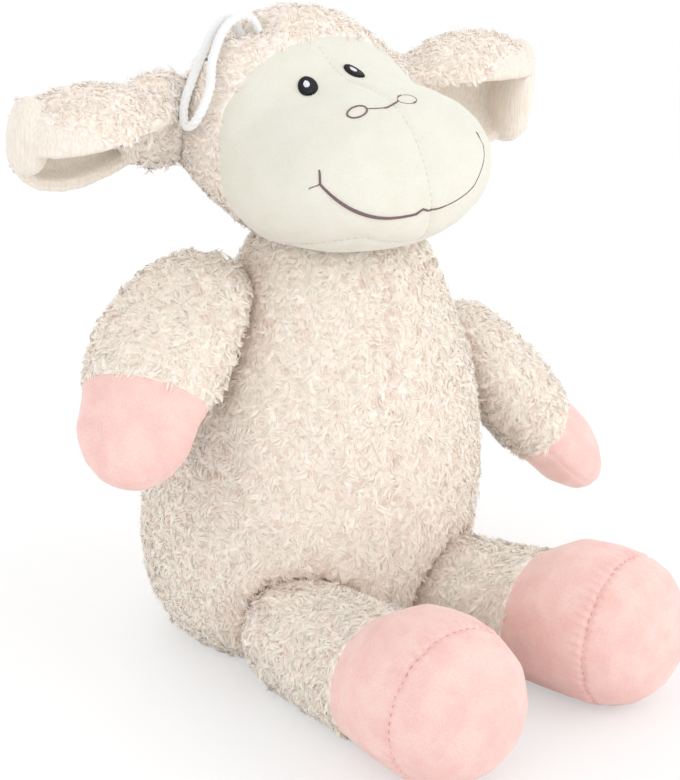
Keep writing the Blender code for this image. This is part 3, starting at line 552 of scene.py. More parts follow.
def seam_route(piece, first, second, centre, order, count):
    """Spots along the seam between two groups of solids, in the order of an angle about a centre."""
    points = places(piece)
    to_first, to_second = distances(points, first).min(1), distances(points, second).min(1)
    is_near = np.minimum(to_first, to_second) < SEAM_REACH
    beside = points[(abs(to_first - to_second) < SEAM_HALF_WIDTH) & is_near]
    angle = order(beside - np.array(centre))
    bins = np.clip(((angle - angle.min()) / (angle.max() - angle.min()) * count).astype(int), 0, count - 1)
    route = np.array([beside[bins == number].mean(0) for number in range(count) if (bins == number).any()])
    tree = search_tree(piece)
    spots = []
    for index in range(len(route)):
        window = route[max(index - 1, 0):index + 2].mean(0)
        place, outward, _, _ = tree.find_nearest(Vector(window))
        spots.append((place, outward))
    return spots


# Wool
TRIES_A_POINT = 4
SHADE_RANGE = (0.02, 0.98)
FLOOR_GAP = 0.2 * MM


def scattered(piece, spacing, rng, keep):
    """Evenly spread points on a piece, with their normals."""
    mesh = piece.data
    mesh.calc_loop_triangles()
    corners = np.array([triangle.vertices[:] for triangle in mesh.loop_triangles])
    points, normals = places(piece), directions(piece)
    sides = points[corners]
    area = np.linalg.norm(np.cross(sides[:, 1] - sides[:, 0], sides[:, 2] - sides[:, 0]), axis=1)
    count = int(area.sum() / 2 / spacing ** 2 * TRIES_A_POINT)
    pick = rng.choice(len(corners), count, p=area / area.sum())
    first, second = np.sqrt(rng.random(count)), rng.random(count)
    share = np.stack([1 - first, first * (1 - second), first * second], 1)[:, :, None]
    found = (sides[pick] * share).sum(1)
    facing = (normals[corners[pick]] * share).sum(1)
    facing /= np.linalg.norm(facing, axis=1)[:, None]
    taken, chosen = {}, []
    steps = [(x, y, z) for x in (-1, 0, 1) for y in (-1, 0, 1) for z in (-1, 0, 1)]
    cells = np.floor(found / spacing).astype(int)
    for index, (cell, point) in enumerate(zip(map(tuple, cells), found)):
        near = (taken.get((cell[0] + x, cell[1] + y, cell[2] + z)) for x, y, z in steps)
        if all(other is None or ((other - point) ** 2).sum() > spacing ** 2 for other in near):
            taken[cell] = point
            chosen.append(index)
    found, facing = found[chosen], facing[chosen]
    kept = keep(found)
    return found[kept], facing[kept]


STRAND_SPREAD_SHARES = np.array([1.0, 1.1, 0.6])
STRAND_WIDTH_SHARES = np.array([0.9, 1.0, 0.0])
STRAND_ROLL = 0.6


def lock_strands(points, normals, lean, tone, look, rng):
    """Wool locks: bundles of fine strands that curl over together."""
    count, strands = len(points), look["strands"]
    steps = len(STRAND_SPREAD_SHARES) - 1
    side = np.cross(normals, lean)
    length = look["length"] * rng.uniform(0.7, 1.25, (count, 1))
    rise = np.radians(rng.uniform(*look["rise"], (count, 1)))
    fall = np.radians(rng.uniform(*look["fall"], (count, 1)))
    curl = np.radians(rng.uniform(*look["curl"], (count, 1))) * rng.choice([-1, 1], (count, 1))
    spread = look["spread"] * rng.uniform(0.8, 1.2, (count, 1))
    across = rng.uniform(-1, 1, (count, strands))
    height = rng.uniform(-0.6, 0.8, (count, strands))
    own = rng.uniform(0.75, 1.2, (count, strands, 1))
    width = look["width"] * rng.uniform(0.7, 1.3, (count, strands, 1))
    shade = np.clip(tone[:, None] + rng.uniform(-0.1, 0.1, (count, strands)), *SHADE_RANGE)
    centre = np.repeat((points - normals * look["sink"])[:, None, :], strands, 1)
    left_edges, right_edges, facing = [], [], []
    for step in range(steps + 1):
        share = step / steps
        tilt = rise + (fall - rise) * share
        turn = curl * share
        level = lean * np.cos(turn) + side * np.sin(turn)
        flat = side * np.cos(turn) - lean * np.sin(turn)
        along = normals * np.cos(tilt) + level * np.sin(tilt)
        outward = normals * np.sin(tilt) - level * np.cos(tilt)
        if step:
            centre = centre + along[:, None, :] * length[:, None, :] / steps * own
        bundle = spread[:, None, :] * STRAND_SPREAD_SHARES[step]
        flat, outward, roll = flat[:, None, :], outward[:, None, :], across[:, :, None] * STRAND_ROLL
        place = centre + (flat * across[:, :, None] + outward * height[:, :, None] * 0.6) * bundle
        edge = flat * np.cos(roll) - outward * np.sin(roll)
        edge = edge * width / 2 * STRAND_WIDTH_SHARES[step]
        left_edges.append(place - edge)
        right_edges.append(place + edge)
        round_off = outward * np.cos(roll) + flat * np.sin(roll)
        soft = look["soft"] * np.sin(tilt)[:, None] ** 2
        facing.append(normals[:, None, :] * soft + round_off * (1 - soft))
    return ribbons(left_edges, right_edges, facing, shade)


def ribbons(left_edges, right_edges, facing, shade):
    """Joins strand edges into pointed ribbons, with a UV and a normal for each point."""
    steps = len(left_edges) - 1
    strands = shade.size
    rows, normal_rows = [], []
    for left, right, direction in zip(left_edges[:-1], right_edges[:-1], facing[:-1]):
        rows += [left.reshape(-1, 3), right.reshape(-1, 3)]
        normal_rows += [direction.reshape(-1, 3)] * 2
    rows.append(left_edges[-1].reshape(-1, 3))
    normal_rows.append(facing[-1].reshape(-1, 3))
    points, normals = np.stack(rows, 1), np.stack(normal_rows, 1)
    each = points.shape[1]
    pattern, heights = [], []
    for step in range(steps - 1):
        low = 2 * step
        pattern += [(low, low + 1, low + 3), (low, low + 3, low + 2)]
    pattern.append((2 * steps - 2, 2 * steps - 1, 2 * steps))
    for step in range(steps):
        heights += [(-0.01, step / steps), (0.01, step / steps)]
    heights.append((0.0, 1.0))
    faces = (np.arange(strands)[:, None, None] * each + np.array(pattern)[None]).reshape(-1, 3)
    heights = np.array(heights)
    uv = np.repeat(heights[None], strands, 0)
    uv[:, :, 0] += shade.reshape(-1, 1)
    uv[:, :, 1] = 0.01 + uv[:, :, 1] * 0.98
    points, normals = points.reshape(-1, 3), unit_rows(normals.reshape(-1, 3))
    corners = points[faces]
    across = np.cross(corners[:, 1] - corners[:, 0], corners[:, 2] - corners[:, 0])
    inward = (across * normals[faces[:, 0]]).sum(1) < 0
    faces[inward] = faces[inward][:, ::-1]
    return points, faces, uv.reshape(-1, 2), normals


def loose_fibres(points, normals, tone, look, rng):
    """Single fine fibres that stand out of the wool."""
    count = len(points)
    stray = unit_rows(normals + rng.normal(0, 0.6, (count, 3)))
    bend = unit_rows(rng.normal(0, 1, (count, 3)))
    flat = unit_rows(np.cross(stray, rng.normal(0, 1, (count, 3)))) * look["hair"] / 2
    length = look["reach"] * rng.uniform(0.6, 1.25, (count, 1))
    left_edges, right_edges = [], []
    for step in range(3):
        share = step / 2
        place = points + stray * length * share + bend * length * 0.45 * share ** 2
        left_edges.append(place - flat * (step < 2))
        right_edges.append(place + flat * (step < 2))
    shade = np.clip(tone * 0.4 + rng.uniform(0, 0.1, count), *SHADE_RANGE)
    return ribbons(left_edges, right_edges, [normals] * 3, shade)


def mesh_piece(name, points, faces, finish, uv=None, normals=None):
    """Mesh object from arrays, with a UV and a normal for each vertex if they are given."""
    mesh = bpy.data.meshes.new(name)
    mesh.vertices.add(len(points))
    mesh.vertices.foreach_set("co", np.asarray(points, dtype=np.float32).ravel())
    faces = np.asarray(faces, dtype=np.int32)
    mesh.loops.add(faces.size)
    mesh.loops.foreach_set("vertex_index", faces.ravel())
    mesh.polygons.add(len(faces))
    mesh.polygons.foreach_set("loop_start", np.arange(len(faces), dtype=np.int32) * faces.shape[1])
    mesh.polygons.foreach_set("loop_total", np.full(len(faces), faces.shape[1], dtype=np.int32))
    if uv is not None:
        layer = mesh.uv_layers.new(name="OFBake")
        layer.data.foreach_set("uv", uv[faces.ravel()].astype(np.float32).ravel())
    mesh.update(calc_edges=True)
    mesh.validate()
    mesh.shade_smooth()
    if normals is not None:
        mesh.normals_split_custom_set_from_vertices(normals.astype(np.float32))
    piece = bpy.data.objects.new(name, mesh)
    bpy.context.scene.collection.objects.link(piece)
    give_finish(piece, finish)
    # Wool casts no shadows; its shade is painted into the strand and backing colours
    piece.visible_shadow = "wool" not in name
    return piece


def grow_wool(name, body, cloth, look, finish, keep, lean, tone_and_shade_from, seed, parts=None):
    """Covers a cloth form with loose fibres and leaning locks of wool, as one piece or several parts."""
    rng = np.random.default_rng(seed)
    points, normals = scattered(cloth, look["spacing"], rng, keep)
    tone = tone_and_shade_from(points, rng)
    lean = np.array(lean) + rng.normal(0, look["stray"], points.shape)
    lean = unit_rows(lean - normals * (lean * normals).sum(1)[:, None])
    hair_points, hair_normals = scattered(cloth, look["hair_spacing"], rng, keep)
    hair_tone = tone_and_shade_from(hair_points, rng)
    parts = parts or {"": lambda points: np.ones(len(points), dtype=bool)}
    for suffix, member in parts.items():
        own, own_hair = member(points), member(hair_points)
        locks = lock_strands(points[own], normals[own], lean[own], tone[own], look, rng)
        hairs = loose_fibres(hair_points[own_hair], hair_normals[own_hair], hair_tone[own_hair], look, rng)
        faces = np.vstack([locks[1], hairs[1] + len(locks[0])])
        strand_points, uv, facing = (np.vstack([locks[part], hairs[part]]) for part in (0, 2, 3))
        strand_points[:, 2] = np.maximum(strand_points[:, 2], FLOOR_GAP)
        piece = mesh_piece(name + suffix, strand_points, faces, finish, uv, facing)
        attach(piece, body)


add_camera()
add_studio()

# The strand roots are painted shade deep in the pile, since the wool casts no shadows
WOOL_ROOT_SHADE, WOOL_MIDDLE = (0.91, 0.79, 0.70), (0.97, 0.935, 0.885)
WOOL = wool_finish("fleece_wool", WOOL_ROOT_SHADE, WOOL_MIDDLE, (0.98, 0.96, 0.915), (0.84, 0.70, 0.63))
CROWN_WOOL = wool_finish("crown_wool", WOOL_ROOT_SHADE, WOOL_MIDDLE, (0.98, 0.955, 0.915), (0.87, 0.75, 0.69))
# The backing's deep tone is painted shade between the locks
BACKING = backing_finish("fleece_backing", (0.88, 0.76, 0.67), (0.965, 0.92, 0.86))
FACE = plush_finish("face_plush", (0.775, 0.765, 0.68), (0.75, 0.74, 0.645), (0.93, 0.925, 0.91), 2600)
PINK = plush_finish("pink_plush", (0.89, 0.635, 0.585), (0.86, 0.565, 0.52), (0.93, 0.86, 0.85), 2300)
# The lining's last colour is painted shade deep in the ear's fold
LINING = lining_finish("ear_lining", (0.85, 0.79, 0.71), (0.77, 0.69, 0.60), (0.80, 0.60, 0.51))
BROWN_THREAD = thread_finish("brown_thread", (0.25, 0.165, 0.175), (0.15, 0.095, 0.105))
BLACK_THREAD = thread_finish("black_thread", (0.014, 0.011, 0.014), (0.004, 0.003, 0.005))
WHITE_THREAD = thread_finish("white_thread", (0.86, 0.88, 0.93), (0.70, 0.72, 0.78))
CREAM_THREAD = thread_finish("cream_thread", (0.72, 0.66, 0.57), (0.60, 0.54, 0.46))
PINK_THREAD = thread_finish("pink_thread", (0.78, 0.36, 0.33), (0.70, 0.30, 0.28))
CORD = thread_finish("white_cord", (0.90, 0.90, 0.89), (0.80, 0.80, 0.80), 0.2)

# Hanging loop: route from the head's centre, as in the solids
LOOP_ROUTE = (
    (-0.0199, -0.0311, 0.0445), (-0.0220, -0.0325, 0.0495), (-0.0255, -0.0325, 0.0515),
    (-0.0315, -0.0312, 0.0485), (-0.0388, -0.0290, 0.0412), (-0.0450, -0.0270, 0.0338),
    (-0.0499, -0.0256, 0.0263), (-0.0522, -0.0232, 0.0209), (-0.0526, -0.0198, 0.0195),
    (-0.0519, -0.0164, 0.0218), (-0.0490, -0.0150, 0.0268), (-0.0450, -0.0160, 0.0332),
    (-0.0400, -0.0210, 0.0407), (-0.0310, -0.0262, 0.0490), (-0.0235, -0.0268, 0.0525),
    (-0.0183, -0.0268, 0.0508), (-0.0157, -0.0263, 0.0460),
)
LOOP_RADIUS, TWIST_PITCH, TWISTED_STRANDS = 1.7 * MM, 7.2 * MM, 3
ROUTE_STEPS, RING_POINTS = 12, 24


def smooth_route(anchors, steps):
    """Points on a smooth curve that runs through all the anchors."""
    points = []
    last = len(anchors) - 1
    for index in range(last):
        before, start = anchors[max(index - 1, 0)], anchors[index]
        end, after = anchors[index + 1], anchors[min(index + 2, last)]
        for step in range(steps):
            share = step / steps
            square, cube = share ** 2, share ** 3
            points.append((before * (-cube + 2 * square - share) + start * (3 * cube - 5 * square + 2)
                           + end * (-3 * cube + 4 * square + share) + after * (cube - square)) / 2)
    points.append(anchors[-1])
    return points


def frames_along(points):
    """Side and upward directions that turn little along a route."""
    last = len(points) - 1
    along = [(points[min(i + 1, last)] - points[max(i - 1, 0)]).normalized() for i in range(last + 1)]
    side = along[0].orthogonal().normalized()
    sides = []
    for direction in along:
        side = (side - direction * side.dot(direction)).normalized()
        sides.append((side, direction.cross(side)))
    return sides


def add_hanging_loop():
    """White cord of twisted strands, sewn into the crown at both ends."""
    route = smooth_route([head_place(*place) for place in LOOP_ROUTE], ROUTE_STEPS)
    gone, points, faces = 0.0, [], []
    for index, (point, (side, upward)) in enumerate(zip(route, frames_along(route))):
        if index:
            gone += (point - route[index - 1]).length
        for step in range(RING_POINTS):
            angle = math.tau * step / RING_POINTS
            lobe = abs(math.cos(TWISTED_STRANDS / 2 * (angle - gone * math.tau / TWIST_PITCH)))
            radius = LOOP_RADIUS * (0.80 + 0.22 * lobe)
            points.append(point + (side * math.cos(angle) + upward * math.sin(angle)) * radius)
    for low in range(0, len(points) - RING_POINTS, RING_POINTS):
        for step in range(RING_POINTS):
            beside, high = (step + 1) % RING_POINTS, low + RING_POINTS
            faces.append((low + step, low + beside, high + beside, high + step))
    piece = mesh_piece("cord_loop", points, faces, CORD)
    only(piece)
    bpy.ops.object.mode_set(mode="EDIT")
    bpy.ops.mesh.select_all(action="SELECT")
    bpy.ops.mesh.fill_holes(sides=RING_POINTS)
    bpy.ops.mesh.normals_make_consistent(inside=False)
    bpy.ops.object.mode_set(mode="OBJECT")
    attach(piece, "head", "hanging_loop")


add_hanging_loop()

# Ears
EAR_OUT = {side: HEAD_LEFT * SIDES[side] * out + HEAD_FORWARD * onward + HEAD_UP * rise
           for side, out, onward, rise in (("right", 0.97, 0.05, 0.08), ("left", 0.95, 0.07, -0.20))}


def along_ear(points, side):
    """How far along an ear each point is, from 0 at its root to 1 at its tip."""
    place = points @ np.array(EAR_OUT[side])
    return (place - place.min()) / (place.max() - place.min())


def ear_axes(side):
    """Directions of an ear: along it, upward, and square to both."""
    along = EAR_OUT[side].normalized()
    upward = (HEAD_UP - along * HEAD_UP.dot(along)).normalized()
    return along, upward, along.cross(upward)


def ear_bulk(side, centre, size):
    """Round bulk of an ear, and a test for the points inside it."""
    turn = Matrix([axis * half for axis, half in zip(ear_axes(side), size)]).transposed()
    bpy.ops.mesh.primitive_uv_sphere_add(segments=32, ring_count=16)
    bulk = bpy.context.object
    bulk.matrix_world = Matrix.Translation(centre) @ turn.to_4x4()
    bpy.ops.object.transform_apply()
    back = np.array(turn.inverted())
    return bulk, lambda points: np.linalg.norm((points - np.array(centre)) @ back.T, axis=1) < BULK_MARGIN


# For each ear, in mm: half sizes and shifts of its thick root and closed tip, width of the turned-out band of
# lining, and how far the lining's upper edge, at these places along it, and its lower edge are drawn down
EAR_SHAPES = {
    "right": {"root": (19, 16.5, 9), "root_shift": (12, -1), "tip": (6.5, 14.5, 8), "tip_shift": (-3, 1, 1),
              "band": 8.5, "band_start": 0.60, "fold_drop": 0.1,
              "edge_places": (0.3, 0.9), "edge_drops": (0, 5), "low_drop": -0.5},
    "left": {"root": (14, 11, 8), "root_shift": (8, -2), "tip": (8, 16.5, 9), "tip_shift": (1.5, -3, -1),
             "band": 11, "band_start": 0.48, "fold_drop": -0.2,
             "edge_places": (0.1, 0.5, 0.9), "edge_drops": (4.5, 3, -1.5), "low_drop": 6}}
BULK_MARGIN = 1.1
FOLD_DEPTH = 24 * MM
RIM_REACH, LOW_BAND = 8 * MM, 4 * MM
BAND_LIFT, BAND_SLOPE = 0.6 * MM, 2 * MM


def ear_rims(points, near, ends, height, place):
    """Distance from each point to the upper and to the lower edge of an ear's lining."""
    rim = np.unique(ends[near[ends[:, 0]] != near[ends[:, 1]]])
    order = np.round(place[rim] * 14)
    middle = np.array([height[rim][order == value].mean() for value in order])
    is_upper = height[rim] > middle
    return line_gaps(points, points[rim[is_upper]]), line_gaps(points, points[rim[~is_upper]])


def mark_fold_shade(ear, near, ends, rounds=12):
    """Marks how far inside its fold each point of an ear's lining lies, as the share of painted shade there.
    """
    tree, points = search_tree(ear), places(ear)
    fold = np.zeros(len(points))
    for index in np.flatnonzero(near):
        outward = ear.data.vertices[index].normal
        hit, _, _, reached = tree.ray_cast(Vector(points[index]) + outward * MM, outward)
        fold[index] = 1 - min(reached / FOLD_DEPTH, 1) if hit else 0
    for _ in range(rounds):
        total, count = np.zeros(len(points)), np.zeros(len(points))
        np.add.at(total, ends, fold[ends[:, ::-1]])
        np.add.at(count, ends, 1)
        fold = total / count
    ear.data.attributes.new("fold", "FLOAT", "POINT").data.foreach_set("value", fold.astype(np.float32))


def add_ear(side):
    """Wool cloth and lining cloth of one ear, from its solids with a thick root and a closed round tip."""
    shape = EAR_SHAPES[side]
    along, upward, onward = ear_axes(side)
    onward = onward * SIDES[side]

    def bulk(key, middle):
        for axis, step in zip((along, upward, onward), shape[key + "_shift"]):
            middle = middle + axis * (step * MM)
        return ear_bulk(side, middle, [half * MM for half in shape[key]])

    root_form, in_root = bulk("root", Vector(places(nodes[f"ear_gather_{side}"]).mean(0)))
    sheet = places(nodes[f"ear_wool_{side}"])
    tip_form, in_tip = bulk("tip", Vector(sheet[along_ear(sheet, side) > 0.95].mean(0)))
    ear = cloth_form(f"ear_cloth_{side}", [f"ear_wool_{side}", f"ear_lining_{side}", f"ear_gather_{side}"],
                     "ear", [root_form, tip_form])
    points, outward = places(ear), directions(ear)
    place, height = along_ear(points, side), points @ np.array(upward)
    to_wool = distances(points, [f"ear_wool_{side}", f"ear_gather_{side}"]).min(1)
    margin = MM * np.clip((shape["band_start"] - place) / 0.1, 0, 1)
    near = (distances(points, [f"ear_lining_{side}"])[:, 0] < to_wool - margin) & ~in_root(points)
    ends = np.array([edge.vertices[:] for edge in ear.data.edges])
    gap, low_gap = ear_rims(points, near, ends, height, place)
    reach = shape["band"] * MM * rising(place, shape["band_start"], 0.3)
    forward = outward @ np.array(onward)
    band = (gap < reach) | (in_tip(points) & ((place > 0.93) | (forward > -0.3)))
    band = (band | ((low_gap < LOW_BAND) & (place > 0.3) & (forward > -0.7))) & ~near
    order = np.round(place * 60).astype(int)
    centres = np.array([height[order == value].mean() for value in range(order.max() + 1)])[order]
    lower = rising(place, 0.40, 0.30) * shape["fold_drop"] * np.maximum(height - centres, 0)
    drops = np.array(shape["edge_drops"]) * MM
    lower += np.interp(place, shape["edge_places"], drops) * fading(gap, RIM_REACH)
    lower += shape["low_drop"] * MM * fading(low_gap, RIM_REACH) * rising(place, 0, 0.5)
    mark_fold_shade(ear, near, ends)
    lift = BAND_LIFT * rising(gap, 0, BAND_SLOPE) * band
    move_to(ear, points + outward * lift[:, None] - np.outer(lower, np.array(upward)))
    return ear, split_faces(ear, near | band, f"lining_cloth_{side}")


# Body, head and face
TORSO_PANELS = ["belly_panel_left", "belly_panel_right", "back_panel_left", "back_panel_right", "seat_panel"]
HEAD_WOOL_PANELS = ["crown_panel", "nape_panel"]
FACE_PANELS = ["face_panel_left", "face_panel_right", "chin_panel"]
TORSO_BULK = ["torso_filling", "pellet_bag"]
# Width and depth in mm of the sunk seams of each cloth
SEAMS = {"torso": (2.5, 1.4), "face": (1.5, 0.8), "hand": (1.0, 0.5), "foot": (1.1, 0.8)}
torso_cloth = cloth_form("torso_cloth", TORSO_PANELS + TORSO_BULK, "torso")
head_cloth = cloth_form("head_cloth", HEAD_WOOL_PANELS + FACE_PANELS + ["head_filling"], "head")
sink_seams(torso_cloth, TORSO_PANELS, *SEAMS["torso"])
sink_seams(head_cloth, FACE_PANELS, *SEAMS["face"])

LOOP_GAP, CROWN_EDGE, CROWN_START = 3 * MM, 12 * MM, -15 * MM
FACE_RISE, FACE_RISE_START = 3.6 * MM, 4 * MM
CROWN_SWELL, CORNER_SWELL, BY_LOOP_SHARE = 2.4 * MM, 4.0 * MM, 0.15


def part_face():
    """Swells the crown, most at its upper right back and little near the loop, and parts the face off."""
    points = places(head_cloth)
    from_centre = points - np.array(HEAD_CENTRE)
    height = from_centre @ np.array(HEAD_UP)
    face_gap = distances(points, FACE_PANELS).min(1)
    reach = FACE_RISE * rising(height, FACE_RISE_START, 18 * MM)
    is_face = face_gap - distances(points, HEAD_WOOL_PANELS).min(1) < reach
    fuller = Vector(HEAD_LEFT * -0.75 - HEAD_FORWARD * 0.45 + HEAD_UP * 0.5).normalized()
    toward = np.clip(unit_rows(from_centre) @ np.array(fuller), 0, 1) ** 2
    from_loop = line_gaps(points, np.array([head_place(*place)[:] for place in LOOP_ROUTE]))
    swell = (CROWN_SWELL + CORNER_SWELL * toward) * rising(face_gap, reach, CROWN_EDGE)
    swell *= (rising(height, CROWN_START, 20 * MM)
              * rising(from_loop, LOOP_GAP, 6 * MM, BY_LOOP_SHARE))
    move_to(head_cloth, points + directions(head_cloth) * swell[:, None])
    return split_faces(head_cloth, is_face, "face_cloth")


face_cloth = part_face()
give_finish(torso_cloth, BACKING)
give_finish(head_cloth, BACKING)
give_finish(face_cloth, FACE)

# Cloth of the limbs: body, finish, slot and panels of each kind
LIMB_CLOTHS = {
    "sleeve": ("arm", BACKING, "fleece", ("sleeve_inner", "sleeve_outer")),
    "hand": ("arm", PINK, "pink_plush", ("hand_inner", "hand_outer")),
    "leg": ("leg", BACKING, "fleece", ("leg_sleeve_top", "leg_sleeve_under")),
    "foot": ("leg", PINK, "pink_plush", ("foot_side", "sole")),
    "ear": ("ear", BACKING, "fleece", ("ear_wool", "ear_gather")),
    "lining": ("ear", LINING, "lining", ("ear_lining",)),
}


def panels(kind, side):
    """Names of the panels that a kind of cloth is made of on one side."""
    return [f"{panel}_{side}" for panel in LIMB_CLOTHS[kind][3]]


limbs = {side: {} for side in SIDES}
for side, parts in limbs.items():
    for kind, end in (("sleeve", "hand"), ("leg", "foot")):
        wool_panels, end_panels = panels(kind, side), panels(end, side)
        solids = wool_panels + end_panels + [f"{LIMB_CLOTHS[kind][0]}_filling_{side}"]
        limb = cloth_form(f"{kind}_cloth_{side}", solids, "limb")
        sink_seams(limb, end_panels, *SEAMS[end])
        points = places(limb)
        is_end = distances(points, end_panels).min(1) < distances(points, wool_panels).min(1)
        parts[kind], parts[end] = limb, split_faces(limb, is_end, f"{end}_cloth_{side}")
    parts["ear"], parts["lining"] = add_ear(side)
    for kind, (_, finish, slot, _) in LIMB_CLOTHS.items():
        give_finish(parts[kind], finish)

# Stitched face
FACE_TREE = search_tree(face_cloth)
FACE_FOCUS = head_place(-0.00418, -0.010047, 0)
RAY_START = 0.0985


def face_spot(pan, lift):
    """Place and outward direction on the face, from the angle off its middle and above its level."""
    pan, lift = math.radians(pan), math.radians(lift)
    level = HEAD_LEFT * math.sin(pan) + HEAD_FORWARD * math.cos(pan)
    ray = level * math.cos(lift) + HEAD_UP * math.sin(lift)
    place, outward, _, _ = FACE_TREE.ray_cast(FACE_FOCUS + ray * RAY_START, -ray)
    return place, outward


def on_face(point):
    """Nearest spot on the face."""
    place, outward, _, _ = FACE_TREE.find_nearest(point)
    return place, outward


def oval_spots(centre, across, upward, half_width, half_height, count):
    """Spots round an oval on the face."""
    turns = [math.tau * index / count for index in range(count)]
    return [on_face(centre + across * half_width * math.cos(turn) + upward * half_height * math.sin(turn))
            for turn in turns]


def satin(centre, across, upward, sizes):
    """Side by side stitches that fill an oval, given its two half axes."""
    pitch, radius, lift = (size * MM for size in sizes)
    stitches = []
    rows = int(upward.length / pitch)
    for row in range(-rows, rows + 1):
        height = row / (rows + 0.4)
        place, outward = on_face(centre + upward * height)
        reach = across * math.sqrt(1 - height ** 2)
        stitches.append((place + outward * lift, across, outward, 2 * reach.length, radius))
    return stitches


def as_seen(outward, right, up):
    """Vector along the cloth that looks this long to the right and upward in the photograph."""
    flat = VIEW_RIGHT * right + VIEW_UP * up
    return flat - VIEW_BACK * (flat.dot(outward) / VIEW_BACK.dot(outward))


# For each eye: pan and lift in degrees, shift on the photograph in mm, tilt, and half sizes in mm
EYES = {"right": (-50, 63, (1.1, -0.3), 110, (3.1, 3.7)), "left": (50, 63, (-2.0, -0.6), 146, (1.6, 3.9))}
NOSTRIL_PAN, NOSTRIL_LIFT, NOSTRIL_SIZE = 15.7, 33.5, (3.9 * MM, 2.6 * MM)
NOSE_REACH, MOUTH_REACH = 9.6, 36.5
NOSTRIL_THREADS = {
    "right": 0.33,
    "left": lambda share: 0.11 + 0.24 * max(math.cos(share * math.tau * 2 + 2.0), 0) ** 8}
# Satin of the eyes and glints: pitch, radius and lift of its stitches in mm
EYE_SATIN, EYE_PADDING, GLINT_SATIN = (0.36, 0.27, 0.55), (0.36, 0.3, 0.15), (0.30, 0.22, 1.05)
PADDING_SHARE, GLINT_SHARE, GLINT_SHIFT_SHARE, EDGE_SHARE = 0.88, 0.36, 0.10, 1.02
EDGE_LIFT, EDGE_THREAD = 0.25 * MM, 0.27


def sew(name, body, stitches, finish, slot, *solids):
    """Adds stitches as a piece that rides on a body and stands for these solids."""
    attach(stitch_piece(name, stitches, finish), body, *solids)


def add_eye(side):
    """Black satin oval with a stitched edge and a white glint, set as they look in the photograph."""
    pan, lift, shift, tilt, (half_width, half_height) = EYES[side]
    centre, outward = face_spot(pan, lift)
    centre, outward = on_face(centre + as_seen(outward, *[step * MM for step in shift]))
    cosine, sine = math.cos(math.radians(tilt)), math.sin(math.radians(tilt))
    upward = as_seen(outward, half_height * MM * cosine, half_height * MM * sine)
    across = as_seen(outward, half_width * MM * sine, -half_width * MM * cosine)
    dark = satin(centre, across, upward, EYE_SATIN)
    dark += satin(centre, across * PADDING_SHARE, upward * PADDING_SHARE, EYE_PADDING)
    edge = [(place + out * EDGE_LIFT, out)
            for place, out in oval_spots(centre, across, upward, EDGE_SHARE, EDGE_SHARE, 30)]
    dark += thread_line(edge, "eye_edge", EDGE_THREAD, True)
    sew(f"eye_threads_{side}", "head", dark, BLACK_THREAD, "black_thread", f"eye_{side}")
    glint, outward = on_face(centre + upward * GLINT_SHIFT_SHARE - across * GLINT_SHIFT_SHARE)
    light = satin(glint, across * GLINT_SHARE, upward * GLINT_SHARE, GLINT_SATIN)
    sew(f"glint_threads_{side}", "head", light, WHITE_THREAD, "white_thread", f"eye_highlight_{side}")


def add_nostril(side):
    """Oval outline in brown thread."""
    centre, outward = face_spot(NOSTRIL_PAN * SIDES[side], NOSTRIL_LIFT)
    across = outward.cross(HEAD_FORWARD).normalized()
    edge = oval_spots(centre, across, outward.cross(across), *NOSTRIL_SIZE, 28)
    stitches = thread_line(edge, "nostril", NOSTRIL_THREADS[side], True)
    sew(f"nostril_threads_{side}", "head", stitches, BROWN_THREAD, "brown_thread", f"nostril_{side}")


def bell(share, middle, width):
    """Smooth bump of height one about the middle."""
    return math.exp(-((share - middle) / width) ** 2)


def mouth_radius(share):
    """Thickest near the right corner and almost sunk in the pile past the middle, in mm."""
    if share > 0.60:
        return 0.10 + 0.16 * bell(share, 0.995, 0.012)
    return (0.30 + 0.30 * bell(share, 0.20, 0.14) + 0.08 * bell(share, 0.40, 0.15)
            - 0.12 * bell(share, 0.60, 0.06))


def add_nose_and_mouth():
    """Nose line, mouth line and the short stitches at the mouth's right corner."""
    line = [face_spot(share * NOSE_REACH, 34.0 - 1.6 * (1 - abs(share))) for share in np.arange(25) / 12 - 1]
    stitches = thread_line(line, "nose", lambda share: 0.22 if share < 0.45 else 0.34)
    sew("nose_threads", "head", stitches, BROWN_THREAD, "brown_thread", "nose_line")
    line = [face_spot(-MOUTH_REACH, lift) for lift in (11, 9.5, 8)]
    line += [face_spot(share * MOUTH_REACH, -7.8 + 14.3 * abs(share) ** 3 + 1.2 * bell(share, 0, 0.05))
             for share in np.arange(61) / 30 - 1]
    line += [face_spot(MOUTH_REACH, lift) for lift in (8, 9.5, 11)]
    stitches = thread_line(line, "mouth", mouth_radius)
    stitches += thread_line([face_spot(-36.8, 6.4), face_spot(-40.5, 5.2)], "mouth_corner", 0.2)
    sew("mouth_threads", "head", stitches, BROWN_THREAD, "brown_thread", "mouth")


for side in SIDES:
    add_eye(side)
    add_nostril(side)
add_nose_and_mouth()


def turn_about(first, second):
    """Angle of points about an axis across two directions."""
    return lambda offsets: np.arctan2(offsets @ np.array(second), offsets @ np.array(first))


# Seams of the face, closed with small cream stitches
for name, first, second, across, count, thread in (
        ("muzzle", FACE_PANELS[:1], FACE_PANELS[1:2], HEAD_UP, 60, 0.11),
        ("chin", FACE_PANELS[:2], FACE_PANELS[2:], HEAD_LEFT, 70, 0.15)):
    route = seam_route(face_cloth, first, second, FACE_FOCUS, turn_about(HEAD_FORWARD, across), count)
    stitches = thread_line(route, "face_seam", thread)
    sew(f"{name}_seam_stitches", "head", stitches, CREAM_THREAD, "smooth_plush")

